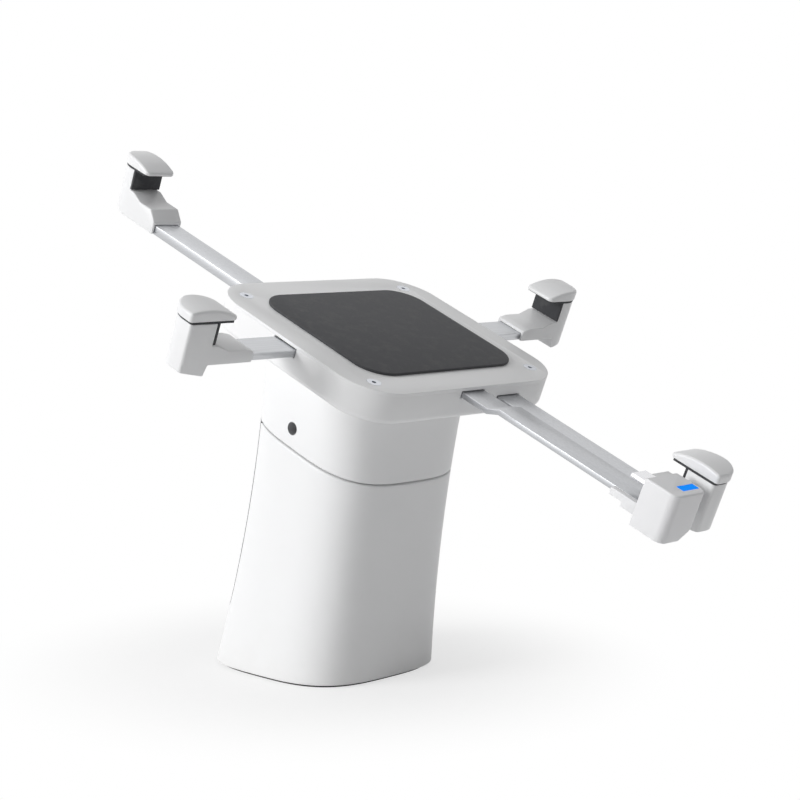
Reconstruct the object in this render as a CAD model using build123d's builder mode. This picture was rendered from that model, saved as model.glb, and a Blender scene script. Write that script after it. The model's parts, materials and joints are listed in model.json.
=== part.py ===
from build123d import *
import math
import os

os.makedirs("parts", exist_ok=True)

# Anti-theft display stand for a small tablet, in millimetres.
# The floor is z = 0, the user stands on the -Y side, and the origin is the centre of the foot.

# The device that the cradle is sized for
device_width = 134.8
device_length = 203.2
device_thickness = 7.5

# Where the held device sits: the centre of its glass, seen from the foot
seat_tilt = 22.5
seat_height = 109.8
seat_forward = 31.8

# Column: half sizes of the outline at the foot, at the waist and at the top
foot_half_width = 27.8
waist_half_width = 25.7
top_half_width = 28.0
foot_half_depth = 29.6
waist_half_depth = 25.4
top_half_depth = 26.5
waist_height = 60.0
column_height = 112.0
squareness = 3.26
outline_points = 24
tower_wall = 2.5
head_wall = 2.4
head_deck = 3.0
tower_deck = 4.0

# Seam between the tower and the head that turns on it, below the glass
seam_depth = 44.4
seam_gap = 0.5

# Foot
floor_gap = 0.8
foot_pad_thickness = 2.0
base_plate_thickness = 8.0
base_screw_x = 17.0
base_screw_spread_y = 17.4
base_screw_grip = 5.5
base_boss_radius = 5.0
base_boss_height = 12.0
cable_hole_radius = 5.5
table_bolt_x = 16.0
table_bolt_radius = 2.1

# Rear cover
cover_half_width = 21.0
cover_bottom = 16.0
cover_corner = 5.0
cover_seam = 0.3
cover_start_y = 4.0
hook_x = 12.5
hook_width = 5.0
hook_thickness = 1.5
hook_reach = 3.0
hook_y = 19.0
cover_screw_height = 23.0
cover_screw_length = 6.0
cover_screw_sink = 0.4
cover_boss_half_width = 5.0
cover_boss_face = 15.5
cover_boss_top = 28.0

# Electronics in the tower
battery_width = 22.0
battery_depth = 14.0
battery_height = 34.0
battery_y = -16.0
battery_corner = 3.0
battery_edge = 1.0
board_width = 22.0
board_length = 11.0
board_thickness = 1.6
board_y = 9.5
standoff_height = 5.0
standoff_radius = 1.8
standoff_inset = 2.0
chip_size = 6.0
chip_height = 1.2
sounder_radius = 4.8
sounder_height = 6.0
sounder_port_radius = 1.5

# Swivel
neck_radius = 9.0
neck_bore = 6.0
neck_flange_radius = 16.0
neck_flange_thickness = 3.0
neck_end_radius = 8.0
neck_end_length = 3.6
nut_radius = 12.5
nut_thickness = 2.5
nut_notch = 3.0
nut_notches = 4
collar_radius = 13.0
collar_flange_radius = 18.5
collar_flange_thickness = 3.0
collar_screw_circle = 15.8
collar_screw_grip = 3.2
washer_thickness = 0.6
head_screw_circle = 13.0

# Key port in the head's left flank
key_port_radius = 1.9
key_port_rise = 5.9
key_port_back = 2.1
key_port_boss_radius = 4.0
key_port_boss_reach = 14.6
key_port_length = 5.0
lock_screw_radius = 1.5
lock_screw_length = 6.0

# Cradle hub: layers below the device
pad_thickness = 0.8
pad_length = 60.0
pad_width = 52.0
pad_corner = 9.0
hub_cover_thickness = 1.0
hub_width = 80.0
hub_length = 72.0
hub_corner_share = 0.175
hub_wall = 2.4
hub_floor = 2.6
hub_edge_round = 2.0
hub_boss_inset = 8.0
hub_boss_radius = 3.4
cover_screw_head = 2.1
cover_screw_hole = 1.2
cover_screw_depth = 7.0
hub_screw_length = 6.5
side_lock_inset = 4.5
rack_lock_inset = 4.2
rib_inner = 6.0
rib_start = 13.5

# Arms that slide in the hub
claw_width = 11.0
bar_width = 9.0
rack_spine = 7.8
bar_thickness = 2.2
rack_thickness = 3.0
travel_in = 8.0
travel_out = 12.0
stop_width = 14.0
stop_length = 3.7
side_stop_inset = 9.0
tongue_start = 1.6
tongue_top = -4.6
bar_bend = 1.0

# Centring gear between the two racks
gear_module = 1.2
gear_teeth = 18
gear_backlash = 0.2
pressure_angle = 20.0
axle_radius = 4.0
axle_bore = 2.5
axle_flange_radius = 5.8
axle_flange_thickness = 1.4
clip_thickness = 0.9

# Claws, measured outward from the face that grips the device
grip_clearance = 0.3
left_draw_back = 2.5
post_thickness = 9.0
post_top = 0.3
post_outer_low = -13.4
post_inner_low = -15.0
heel_length = 15.0
heel_clearance = 0.4
heel_raised = -6.2
heel_flat = 2.0
heel_slope = 6.0
heel_nose = 3.0
heel_end_cover = 1.0
heel_step = 0.8
far_corner = 7.4
near_corner = 0.9
liner_thickness = 0.6
liner_leg = 0.8
liner_leg_low = -5.9
liner_reach = 4.4
cap_overhang = 0.5
cap_reach = 5.8
cap_crest = 3.5
cap_outer_top = 3.3
cap_mid_top = 4.0
cap_tip_top = 1.9
cap_edge_round = 0.8
tip_corner = 1.6
cap_boss_radius = 2.6
cap_boss_length = 3.7
cap_screw_back = 3.4
cap_screw_radius = 1.25
cap_screw_top = 2.1
cap_screw_head = 2.2
cap_head_top = -11.2
cap_head_height = 1.6

# Sensor head at the device's charging port
block_half_width = 6.6
block_depth = 10.6
block_top = -0.5
block_bottom = -14.1
block_edge_round = 2.5
block_cut_width = 5.5
block_cut_height = 4.0
block_top_round = 0.5
block_standoff = 0.4
window_width = 6.7
window_depth = 2.3
window_centre = 2.3
window_back = 3.5
window_thickness = 1.0
plug_width = 6.7
plug_height = 1.5
plug_length = 6.6
plug_root = 3.0
strip_grip = 6.0
strip_screw_radius = 1.25
strip_screw_head = 2.0
strip_head_height = 1.2
strip_width = 9.0
strip_thickness = 1.6
strip_raise = 1.7
joggle_start = 46.0
joggle_length = 4.0
boot_length = 4.4
boot_low = -11.2
boot_tail_length = 4.4
boot_tail_low = -9.9
strip_stop_width = 11.4

# Screws used in several places
small_screw_radius = 1.5
small_head_radius = 2.6
screw_head_radius = 2.8

# Fits and gaps
running_gap = 0.3
shaft_clearance = 0.05
fit_gap = 0.05

# Derived places
tilt = math.radians(seat_tilt)
seat = Plane(
    origin=(0, -seat_forward, seat_height),
    x_dir=(1, 0, 0),
    z_dir=(0, -math.sin(tilt), math.cos(tilt)),
)
column_lean = (seat_forward - seam_depth * math.sin(tilt)) / (seat_height - seam_depth * math.cos(tilt))
tower_top = -seam_depth - seam_gap / 2
head_bottom = -seam_depth + seam_gap / 2
cover_top = -device_thickness - pad_thickness
hub_rim = cover_top - hub_cover_thickness
bar_top = hub_rim - running_gap
bar_low = bar_top - bar_thickness
rack_top = bar_low - running_gap
rack_low = rack_top - rack_thickness
hub_floor_top = rack_low - running_gap
hub_bottom = hub_floor_top - hub_floor
pitch_radius = gear_module * gear_teeth / 2
rack_tip = pitch_radius - gear_module
rack_root = pitch_radius + gear_module * 1.25
arm_offset = rack_root + rack_spine - bar_width / 2
rack_outer = rack_root + rack_spine
hub_half_width = hub_width / 2
hub_half_length = hub_length / 2
hub_corner = hub_width * hub_corner_share
hub_boss_x = hub_half_width - hub_boss_inset
hub_boss_y = hub_half_length - hub_boss_inset
side_lock_x = hub_half_width - side_lock_inset
rack_lock_y = hub_half_length - rack_lock_inset
side_stop = hub_half_width - side_stop_inset
end_stop = hub_half_length - hub_wall
rack_shoulder = end_stop - travel_out - running_gap
rack_inner_end = -(end_stop - travel_in - running_gap)
side_shoulder = side_stop - travel_out - running_gap
side_inner_end = side_shoulder - stop_length
strip_stop = end_stop - hub_wall
strip_shoulder = strip_stop - travel_out - running_gap
strip_inner_end = strip_shoulder - stop_length
strip_low = bar_top - strip_thickness
collar_top = hub_bottom - head_deck - neck_flange_thickness - washer_thickness - running_gap
collar_seat = tower_top - tower_deck
collar_low = collar_seat - collar_flange_thickness
nut_top = collar_low - running_gap
clip_low = rack_top + running_gap
base_top = foot_pad_thickness + base_plate_thickness
hook_under = post_top + liner_thickness
heel_top = -device_thickness - heel_clearance
seat_axis = Axis(seat.origin, seat.z_dir)
seat_side = Plane(origin=seat.origin, x_dir=seat.x_dir, z_dir=-seat.y_dir)


def waisted(foot, waist, top, height):
    """size of the column at a height: a parabola through its three named sizes"""
    foot_share = (height - waist_height) * (height - column_height) / (waist_height * column_height)
    waist_share = height * (column_height - height) / (waist_height * (column_height - waist_height))
    top_share = height * (height - waist_height) / (column_height * (column_height - waist_height))
    return foot * foot_share + waist * waist_share + top * top_share


def rear_wall(height):
    """how far back the column's skin lies on its middle line"""
    return waisted(foot_half_depth, waist_half_depth, top_half_depth, height) - column_lean * height


def column_outline(height, inset):
    """points of the column's squarish oval at a height, set in from the outer skin"""
    half_width = waisted(foot_half_width, waist_half_width, top_half_width, height) - inset
    half_depth = waisted(foot_half_depth, waist_half_depth, top_half_depth, height) - inset
    points = []
    for step in range(outline_points):
        across = math.cos(2 * math.pi * step / outline_points)
        along = math.sin(2 * math.pi * step / outline_points)
        x = math.copysign(abs(across) ** (2 / squareness), across) * half_width
        y = math.copysign(abs(along) ** (2 / squareness), along) * half_depth
        points.append((x, y - column_lean * height))
    return points


def column(inset, mode=Mode.ADD):
    """the whole leaning, waisted body, set in from its outer skin"""
    levels = []
    for height in (0, waist_height, column_height):
        with BuildSketch(Plane.XY.offset(height)) as level:
            with BuildLine():
                Spline(*column_outline(height, inset), periodic=True)
            make_face()
        levels.append(level.sketch)
    loft(levels, mode=mode)


def on_seat(x, y, depth, facing=1):
    """plane at a place of the seat's frame, facing out of the seat or into it"""
    return Plane(origin=seat.from_local_coords((x, y, depth)), x_dir=seat.x_dir, z_dir=seat.z_dir * facing)


def ring_of_places(circle, depth, facing=1):
    """four places on a circle about the swivel axis, at 45 degrees to the arms"""
    reach = circle * math.sqrt(0.5)
    return [on_seat(x * reach, y * reach, depth, facing) for x in (-1, 1) for y in (-1, 1)]


def screw_form(places, head_radius, shank_radius, length, mode=Mode.ADD):
    """countersunk screw bodies, or the holes that seat them, with each head flush at its place"""
    with Locations(*places):
        Cylinder(shank_radius, length, align=(Align.CENTER, Align.CENTER, Align.MAX), mode=mode)
        Cone(
            shank_radius,
            head_radius,
            head_radius - shank_radius,
            align=(Align.CENTER, Align.CENTER, Align.MAX),
            mode=mode,
        )


def screws(name, places, head_radius, shank_radius, length):
    """a group of like countersunk screws with hex sockets"""
    with BuildPart() as group:
        screw_form(places, head_radius, shank_radius, length)
        with BuildSketch(*places):
            RegularPolygon(shank_radius * 0.6, 6)
        extrude(amount=-shank_radius * 0.8, mode=Mode.SUBTRACT)
    save(group, name)


def set_screws(name, places, radius, length):
    """a group of like headless screws with hex sockets"""
    with BuildPart() as group:
        with Locations(*places):
            Cylinder(radius, length, align=(Align.CENTER, Align.CENTER, Align.MAX))
        with BuildSketch(*places):
            RegularPolygon(radius * 0.6, 6)
        extrude(amount=-radius, mode=Mode.SUBTRACT)
    save(group, name)


def turned(*profile):
    """round piece about the swivel axis, from its radius and depth points"""
    with BuildPart() as piece:
        with BuildSketch(seat_side):
            with BuildLine():
                Polyline(*profile, close=True)
            make_face()
        revolve(axis=seat_axis)
    return piece


def save(piece, name):
    """label a finished piece and write it to its own file"""
    piece.part.label = name
    export_step(piece.part, f"parts/{name}.step")


def cover_window(half_width, low, corner):
    """outline of the rear cover seen from behind, its lower corners rounded"""
    with BuildSketch(Plane.XZ.offset(-cover_start_y)) as window:
        with BuildLine():
            Polyline(
                (-half_width, column_height),
                (-half_width, low),
                (half_width, low),
                (half_width, column_height),
                close=True,
            )
        make_face()
        fillet(window.vertices().sort_by(Axis.Y)[:2], corner)
    return window.sketch


def boxed(x_low, x_high, y_low, y_high, low, high, mode):
    """straight-sided block of the seat's frame, between two depths"""
    with BuildSketch(seat.offset(low)) as base:
        with Locations(((x_low + x_high) / 2, (y_low + y_high) / 2)):
            Rectangle(x_high - x_low, y_high - y_low)
    extrude(base.sketch, amount=high - low, mode=mode)


# Tower: a hollow column cut off along the seam, with a deck for the swivel

base_screw_middle = -column_lean * (base_top + base_boss_height / 2)
base_screw_places = [
    (x * base_screw_x, base_screw_middle + y * base_screw_spread_y) for x in (-1, 1) for y in (-1, 1)
]

cover_screw_low = rear_wall(cover_screw_height - screw_head_radius)
cover_screw_high = rear_wall(cover_screw_height + screw_head_radius)
cover_screw_facing = Vector(0, 2 * screw_head_radius, cover_screw_low - cover_screw_high).normalized()
cover_screw_middle = Vector(0, (cover_screw_low + cover_screw_high) / 2, cover_screw_height)
cover_screw_place = Plane(
    origin=cover_screw_middle - cover_screw_facing * cover_screw_sink,
    x_dir=(1, 0, 0),
    z_dir=cover_screw_facing,
)

with BuildPart() as tower_cavity:
    column(tower_wall)
    split(bisect_by=seat.offset(collar_seat), keep=Keep.BOTTOM)

with BuildPart() as rear_window:
    column(-tower_wall)
    column(tower_wall + fit_gap, mode=Mode.SUBTRACT)
    extrude(
        cover_window(cover_half_width, cover_bottom, cover_corner),
        amount=-column_height,
        mode=Mode.INTERSECT,
    )

with BuildPart() as tower_bosses:
    with BuildSketch(Plane.XY.offset(base_top)):
        with Locations(*base_screw_places):
            Circle(base_boss_radius)
    extrude(amount=base_boss_height)
    with BuildSketch(Plane.XY.offset(base_top)):
        with Locations((0, cover_boss_face)):
            Rectangle(
                2 * cover_boss_half_width,
                foot_half_depth - cover_boss_face,
                align=(Align.CENTER, Align.MIN),
            )
    extrude(amount=cover_boss_top - base_top)
    column(tower_wall / 2, mode=Mode.INTERSECT)

with BuildPart() as tower_shell:
    column(0)
    split(bisect_by=seat.offset(tower_top), keep=Keep.BOTTOM)
    split(bisect_by=Plane.XY.offset(floor_gap), keep=Keep.TOP)
    add(tower_cavity.part, mode=Mode.SUBTRACT)
    add(tower_bosses.part)
    add(rear_window.part, mode=Mode.SUBTRACT)
    with BuildSketch(seat.offset(tower_top)):
        Circle(collar_radius + fit_gap)
    extrude(amount=-tower_deck, mode=Mode.SUBTRACT)
    with Locations(*ring_of_places(collar_screw_circle, collar_seat, -1)):
        Cylinder(small_screw_radius + fit_gap, collar_screw_grip + fit_gap,
                 align=(Align.CENTER, Align.CENTER, Align.MAX), mode=Mode.SUBTRACT)
    with Locations(*[Plane(origin=(x, y, base_top)) for x, y in base_screw_places]):
        Cylinder(small_screw_radius + fit_gap, base_screw_grip + fit_gap,
                 align=(Align.CENTER, Align.CENTER, Align.MIN), mode=Mode.SUBTRACT)
    screw_form([cover_screw_place], screw_head_radius + fit_gap, small_screw_radius + fit_gap,
               cover_screw_length + fit_gap, Mode.SUBTRACT)
save(tower_shell, "tower_shell")

# Tower fittings

with BuildPart() as rear_cover:
    column(0)
    column(tower_wall - fit_gap, mode=Mode.SUBTRACT)
    extrude(
        cover_window(
            cover_half_width - cover_seam,
            cover_bottom + cover_seam,
            cover_corner - cover_seam,
        ),
        amount=-column_height,
        mode=Mode.INTERSECT,
    )
    split(bisect_by=seat.offset(tower_top), keep=Keep.BOTTOM)
    hook_top = collar_seat - fit_gap
    for x in (-hook_x, hook_x):
        boxed(x - hook_width / 2, x + hook_width / 2, hook_y, hook_y + hook_reach,
              hook_top - hook_thickness, hook_top, Mode.ADD)
    screw_form([cover_screw_place], screw_head_radius + fit_gap, small_screw_radius + fit_gap,
               cover_screw_length, Mode.SUBTRACT)
    with Locations(cover_screw_place):
        Cylinder(screw_head_radius + fit_gap, tower_wall,
                 align=(Align.CENTER, Align.CENTER, Align.MIN), mode=Mode.SUBTRACT)
save(rear_cover, "rear_cover")
screws("rear_cover_screw", [cover_screw_place], screw_head_radius, small_screw_radius, cover_screw_length)

base_screw_planes = [
    Plane(origin=(x, y, foot_pad_thickness), x_dir=(1, 0, 0), z_dir=(0, 0, -1)) for x, y in base_screw_places
]
base_screw_length = base_plate_thickness + base_screw_grip


def foot_holes():
    """the cable hole and the two table bolts' holes, through both layers of the foot"""
    with BuildSketch(Plane.XY) as holes:
        Circle(cable_hole_radius)
        with Locations((-table_bolt_x, 0), (table_bolt_x, 0)):
            Circle(table_bolt_radius)
    extrude(holes.sketch, amount=base_top, mode=Mode.SUBTRACT)


with BuildPart() as base_plate:
    column(tower_wall + running_gap)
    split(bisect_by=Plane.XY.offset(base_top), keep=Keep.BOTTOM)
    split(bisect_by=Plane.XY.offset(foot_pad_thickness), keep=Keep.TOP)
    foot_holes()
    screw_form(base_screw_planes, screw_head_radius + fit_gap, small_screw_radius + fit_gap,
               base_plate_thickness, Mode.SUBTRACT)
save(base_plate, "base_plate")
screws("base_screws", base_screw_planes, screw_head_radius, small_screw_radius, base_screw_length)

with BuildPart() as foot_pad:
    column(tower_wall + running_gap)
    split(bisect_by=Plane.XY.offset(foot_pad_thickness), keep=Keep.BOTTOM)
    foot_holes()
save(foot_pad, "foot_pad")

# Electronics that stand on the base plate

with BuildPart() as battery:
    with BuildSketch(Plane.XY.offset(base_top)):
        with Locations((0, battery_y)):
            RectangleRounded(battery_width, battery_depth, battery_corner)
    extrude(amount=battery_height)
    chamfer(battery.faces().sort_by(Axis.Z)[-1].edges(), battery_edge)
save(battery, "battery")

board_low = base_top + standoff_height
standoff_places = [
    (x * (board_width / 2 - standoff_inset), board_y + y * (board_length / 2 - standoff_inset))
    for x in (-1, 1) for y in (-1, 1)
]
with BuildPart() as board_standoffs:
    with BuildSketch(Plane.XY.offset(base_top)):
        with Locations(*standoff_places):
            RegularPolygon(standoff_radius, 6)
    extrude(amount=standoff_height)
save(board_standoffs, "board_standoffs")

with BuildPart() as alarm_board:
    with BuildSketch(Plane.XY.offset(board_low)):
        with Locations((0, board_y)):
            Rectangle(board_width, board_length)
    extrude(amount=board_thickness)
    with BuildSketch(Plane.XY.offset(board_low + board_thickness)):
        with Locations((-board_width / 4, board_y)):
            Rectangle(chip_size, chip_size)
    extrude(amount=chip_height)
save(alarm_board, "alarm_board")

with BuildPart() as sounder:
    with BuildSketch(Plane.XY.offset(board_low + board_thickness)):
        with Locations((board_width / 4, board_y)):
            Circle(sounder_radius)
    extrude(amount=sounder_height)
    with BuildSketch(Plane.XY.offset(board_low + board_thickness + sounder_height)):
        with Locations((board_width / 4, board_y)):
            Circle(sounder_port_radius)
    extrude(amount=-sounder_height / 2, mode=Mode.SUBTRACT)
save(sounder, "sounder")

# Swivel: a flanged neck that turns in a collar screwed up into the tower's deck

with BuildPart() as swivel_collar:
    add(turned(
        (neck_radius + shaft_clearance, collar_top),
        (collar_radius, collar_top),
        (collar_radius, collar_seat),
        (collar_flange_radius, collar_seat),
        (collar_flange_radius, collar_low),
        (neck_radius + shaft_clearance, collar_low),
    ).part)
    screw_form(ring_of_places(collar_screw_circle, collar_low, -1), small_head_radius + fit_gap,
               small_screw_radius + fit_gap, collar_flange_thickness, Mode.SUBTRACT)
save(swivel_collar, "swivel_collar")
screws("collar_screws", ring_of_places(collar_screw_circle, collar_low, -1), small_head_radius,
       small_screw_radius, collar_flange_thickness + collar_screw_grip)

neck_top = hub_bottom - head_deck
neck_flange_low = neck_top - neck_flange_thickness
head_screw_planes = ring_of_places(head_screw_circle, hub_floor_top)
head_screw_length = hub_floor_top - neck_flange_low
with BuildPart() as swivel_neck:
    add(turned(
        (neck_bore, neck_top),
        (neck_flange_radius, neck_top),
        (neck_flange_radius, neck_flange_low),
        (neck_radius, neck_flange_low),
        (neck_radius, nut_top),
        (neck_end_radius, nut_top),
        (neck_end_radius, nut_top - neck_end_length),
        (neck_bore, nut_top - neck_end_length),
    ).part)
    screw_form(head_screw_planes, screw_head_radius, small_screw_radius + fit_gap,
               head_screw_length, Mode.SUBTRACT)
save(swivel_neck, "swivel_neck")
screws("head_screws", head_screw_planes, screw_head_radius, small_screw_radius, head_screw_length)

thrust_washer = turned(
    (neck_radius + running_gap, neck_flange_low),
    (collar_radius, neck_flange_low),
    (collar_radius, neck_flange_low - washer_thickness),
    (neck_radius + running_gap, neck_flange_low - washer_thickness),
)
save(thrust_washer, "thrust_washer")

with BuildPart() as swivel_nut:
    add(turned(
        (neck_end_radius + fit_gap, nut_top),
        (nut_radius, nut_top),
        (nut_radius, nut_top - nut_thickness),
        (neck_end_radius + fit_gap, nut_top - nut_thickness),
    ).part)
    with BuildSketch(seat.offset(nut_top)):
        with PolarLocations(nut_radius, nut_notches):
            Rectangle(nut_notch, nut_notch)
    extrude(amount=-nut_thickness, mode=Mode.SUBTRACT)
save(swivel_nut, "swivel_nut")

# Head: the column goes on above the seam and carries the cradle

head_screw_reach = head_screw_circle * math.sqrt(0.5)
key_port_depth = -seam_depth + key_port_rise
lock_screw_tip = math.sqrt(collar_radius**2 - key_port_back**2) + running_gap


def on_port(distance):
    """plane across the key port's axis, facing out of the head's left flank"""
    return Plane(
        origin=seat.from_local_coords((-distance, key_port_back, key_port_depth)),
        x_dir=seat.z_dir,
        z_dir=-seat.x_dir,
    )


key_port_face = waist_half_width
key_port_place = on_port(key_port_face - head_wall / 2)
key_port_boss_length = key_port_face - head_wall / 2 - key_port_boss_reach
lock_screw_place = on_port(lock_screw_tip + lock_screw_length)

with BuildPart() as head_cavity:
    column(head_wall)
    split(bisect_by=seat.offset(hub_bottom - head_deck), keep=Keep.BOTTOM)

with BuildPart() as head_shell:
    column(0)
    split(bisect_by=seat.offset(hub_bottom), keep=Keep.BOTTOM)
    split(bisect_by=seat.offset(head_bottom), keep=Keep.TOP)
    add(head_cavity.part, mode=Mode.SUBTRACT)
    with Locations(key_port_place):
        Cylinder(key_port_boss_radius, key_port_boss_length,
                 align=(Align.CENTER, Align.CENTER, Align.MAX))
        Cylinder(lock_screw_radius + fit_gap, key_port_boss_length,
                 align=(Align.CENTER, Align.CENTER, Align.MAX), mode=Mode.SUBTRACT)
        Cylinder(key_port_radius, 2 * key_port_length, mode=Mode.SUBTRACT)
    with BuildSketch(seat.offset(hub_bottom)):
        Circle(axle_flange_radius + fit_gap)
    extrude(amount=-axle_flange_thickness - fit_gap, mode=Mode.SUBTRACT)
    with BuildSketch(seat.offset(hub_bottom)):
        Circle(axle_radius)
    extrude(amount=-head_deck, mode=Mode.SUBTRACT)
    with BuildSketch(seat.offset(hub_bottom)):
        with Locations(*[(x * head_screw_reach, y * head_screw_reach) for x in (-1, 1) for y in (-1, 1)]):
            Circle(small_screw_radius + fit_gap)
    extrude(amount=-head_deck, mode=Mode.SUBTRACT)
save(head_shell, "head_shell")
set_screws("lock_screw", [lock_screw_place], lock_screw_radius, lock_screw_length)

# Hub: a tray with channels for the arms, closed by a cover that carries the device's pad

cover_screw_planes = [
    on_seat(x * hub_boss_x, y * hub_boss_y, cover_top) for x in (-1, 1) for y in (-1, 1)
]
side_lock_length = rack_top - hub_bottom
side_lock_planes = [on_seat(x * side_lock_x, 0, hub_bottom, -1) for x in (-1, 1)]
rack_lock_planes = [on_seat(x * arm_offset, -x * rack_lock_y, hub_bottom, -1) for x in (-1, 1)]

with BuildPart() as hub_tray:
    with BuildSketch(seat.offset(hub_bottom)):
        RectangleRounded(hub_width, hub_length, hub_corner)
    extrude(amount=hub_rim - hub_bottom)
    fillet(hub_tray.faces().sort_by(seat_axis)[0].edges(), hub_edge_round)
    # the well that both racks share, and the ribs that guide the racks and the sensor strip
    well = rack_outer + running_gap
    boxed(-well, well, -end_stop, end_stop, hub_floor_top, hub_rim, Mode.SUBTRACT)
    rib_outer = rack_tip - running_gap
    for side in (-1, 1):
        x_low, x_high = sorted((side * rib_inner, side * rib_outer))
        boxed(x_low, x_high, rib_start, end_stop, hub_floor_top, hub_rim, Mode.ADD)
        boxed(x_low, x_high, -end_stop, -rib_start, hub_floor_top, hub_rim, Mode.ADD)
    strip_land = strip_low - running_gap
    boxed(-rib_inner, rib_inner, -end_stop, -rib_start, hub_floor_top, strip_land, Mode.ADD)
    boxed(-rib_inner, rib_inner, -end_stop, -strip_stop, strip_land, hub_rim, Mode.ADD)
    strip_slot = strip_width / 2 + running_gap
    boxed(-strip_slot, strip_slot, -hub_half_length, -strip_stop, strip_land, hub_rim, Mode.SUBTRACT)
    # slots in the end walls for the racks' shanks
    slot_low = arm_offset - bar_width / 2 - running_gap
    boxed(-well, -slot_low, end_stop, hub_half_length, hub_floor_top, bar_low, Mode.SUBTRACT)
    boxed(slot_low, well, -hub_half_length, -end_stop, hub_floor_top, bar_low, Mode.SUBTRACT)
    # channels for the side arms, wide for their stop heads and narrow beyond
    stop_half = stop_width / 2 + running_gap
    bar_half = bar_width / 2 + running_gap
    for side in (-1, 1):
        x_low, x_high = sorted((side * rib_outer, side * side_stop))
        boxed(x_low, x_high, -stop_half, stop_half, rack_top, hub_rim, Mode.SUBTRACT)
        x_low, x_high = sorted((side * side_stop, side * hub_half_width))
        boxed(x_low, x_high, -bar_half, bar_half, rack_top, hub_rim, Mode.SUBTRACT)
    # cored corners, each with a boss for one of the cover's screws
    core_start_x = well + hub_wall
    core_start_y = stop_half + hub_wall
    for x in (-1, 1):
        for y in (-1, 1):
            x_low, x_high = sorted((x * core_start_x, x * (hub_half_width - hub_wall)))
            y_low, y_high = sorted((y * core_start_y, y * end_stop))
            with BuildSketch(seat.offset(hub_floor_top)) as core:
                with Locations(((x_low + x_high) / 2, (y_low + y_high) / 2)):
                    Rectangle(x_high - x_low, y_high - y_low)
                outer_corner = core.vertices().sort_by_distance((x * hub_width, y * hub_length))[0]
                fillet(outer_corner, hub_corner - hub_wall)
                with Locations((x * hub_boss_x, y * hub_boss_y)):
                    Circle(hub_boss_radius, mode=Mode.SUBTRACT)
            extrude(core.sketch, amount=hub_rim - hub_floor_top, mode=Mode.SUBTRACT)
    screw_form(cover_screw_planes, small_head_radius, cover_screw_hole, cover_screw_depth, Mode.SUBTRACT)
    with Locations(seat.offset(hub_bottom)):
        Cylinder(axle_radius + fit_gap, hub_floor,
                 align=(Align.CENTER, Align.CENTER, Align.MIN), mode=Mode.SUBTRACT)
    screw_form(head_screw_planes, screw_head_radius + fit_gap, small_screw_radius + fit_gap,
               hub_floor, Mode.SUBTRACT)
    for places, length in ((side_lock_planes, side_lock_length), (rack_lock_planes, hub_floor)):
        with Locations(*places):
            Cylinder(lock_screw_radius + fit_gap, length,
                     align=(Align.CENTER, Align.CENTER, Align.MAX), mode=Mode.SUBTRACT)
save(hub_tray, "hub_tray")
set_screws("side_lock_screws", side_lock_planes, lock_screw_radius, side_lock_length)
set_screws("rack_lock_screws", rack_lock_planes, lock_screw_radius, hub_floor)

with BuildPart() as hub_cover:
    with BuildSketch(seat.offset(hub_rim)):
        RectangleRounded(hub_width, hub_length, hub_corner)
    extrude(amount=hub_cover_thickness)
    screw_form(cover_screw_planes, cover_screw_head + fit_gap, cover_screw_hole + fit_gap,
               hub_cover_thickness, Mode.SUBTRACT)
save(hub_cover, "hub_cover")
screws("hub_cover_screws", cover_screw_planes, cover_screw_head, cover_screw_hole, hub_screw_length)

with BuildPart() as device_pad:
    with BuildSketch(seat.offset(cover_top)):
        RectangleRounded(pad_length, pad_width, pad_corner)
    extrude(amount=pad_thickness)
save(device_pad, "device_pad")


# Centring gear: a pinion on a hollow axle, in mesh with both racks

pressure = math.radians(pressure_angle)
half_tooth = (math.pi * gear_module / 2 - gear_backlash) / 2


def involute(angle):
    """involute function of a pressure angle"""
    return math.tan(angle) - angle


def flank_angle(radius):
    """half the angle that a pinion tooth fills at a radius outside the base circle"""
    base = pitch_radius * math.cos(pressure)
    return half_tooth / pitch_radius + involute(pressure) - involute(math.acos(base / radius))


def polar(radius, angle):
    """point at a radius and an angle in radians"""
    return (radius * math.cos(angle), radius * math.sin(angle))


with BuildPart() as pinion:
    tip_radius = pitch_radius + gear_module
    root_radius = pitch_radius - gear_module * 1.25
    flank_start = max(root_radius, pitch_radius * math.cos(pressure)) + fit_gap
    flank_radii = [flank_start, (flank_start + tip_radius) / 2, tip_radius]
    rising = [polar(radius, -flank_angle(radius)) for radius in flank_radii]
    falling = [polar(radius, flank_angle(radius)) for radius in reversed(flank_radii)]
    start = polar(root_radius - fit_gap, -flank_angle(flank_start))
    end = polar(root_radius - fit_gap, flank_angle(flank_start))
    with BuildSketch(seat.offset(rack_low)) as gear:
        Circle(root_radius)
        with BuildSketch(mode=Mode.PRIVATE) as tooth:
            with BuildLine():
                Line(start, rising[0])
                Spline(*rising)
                Line(rising[-1], falling[0])
                Spline(*falling)
                Line(falling[-1], end)
                Line(end, start)
            make_face()
        with PolarLocations(0, gear_teeth):
            add(tooth.sketch)
        Circle(axle_radius + shaft_clearance, mode=Mode.SUBTRACT)
    extrude(amount=rack_thickness)
save(pinion, "pinion")

pinion_axle = turned(
    (axle_bore, clip_low + clip_thickness),
    (axle_radius, clip_low + clip_thickness),
    (axle_radius, hub_bottom),
    (axle_flange_radius, hub_bottom),
    (axle_flange_radius, hub_bottom - axle_flange_thickness),
    (axle_bore, hub_bottom - axle_flange_thickness),
)
save(pinion_axle, "pinion_axle")

pinion_clip = turned(
    (axle_radius + fit_gap, clip_low),
    (axle_flange_radius, clip_low),
    (axle_flange_radius, clip_low + clip_thickness - fit_gap),
    (axle_radius + fit_gap, clip_low + clip_thickness - fit_gap),
)
save(pinion_clip, "pinion_clip")


# Claws: each is a steel bar with an upturned end, moulded into a post that a cap closes


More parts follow.
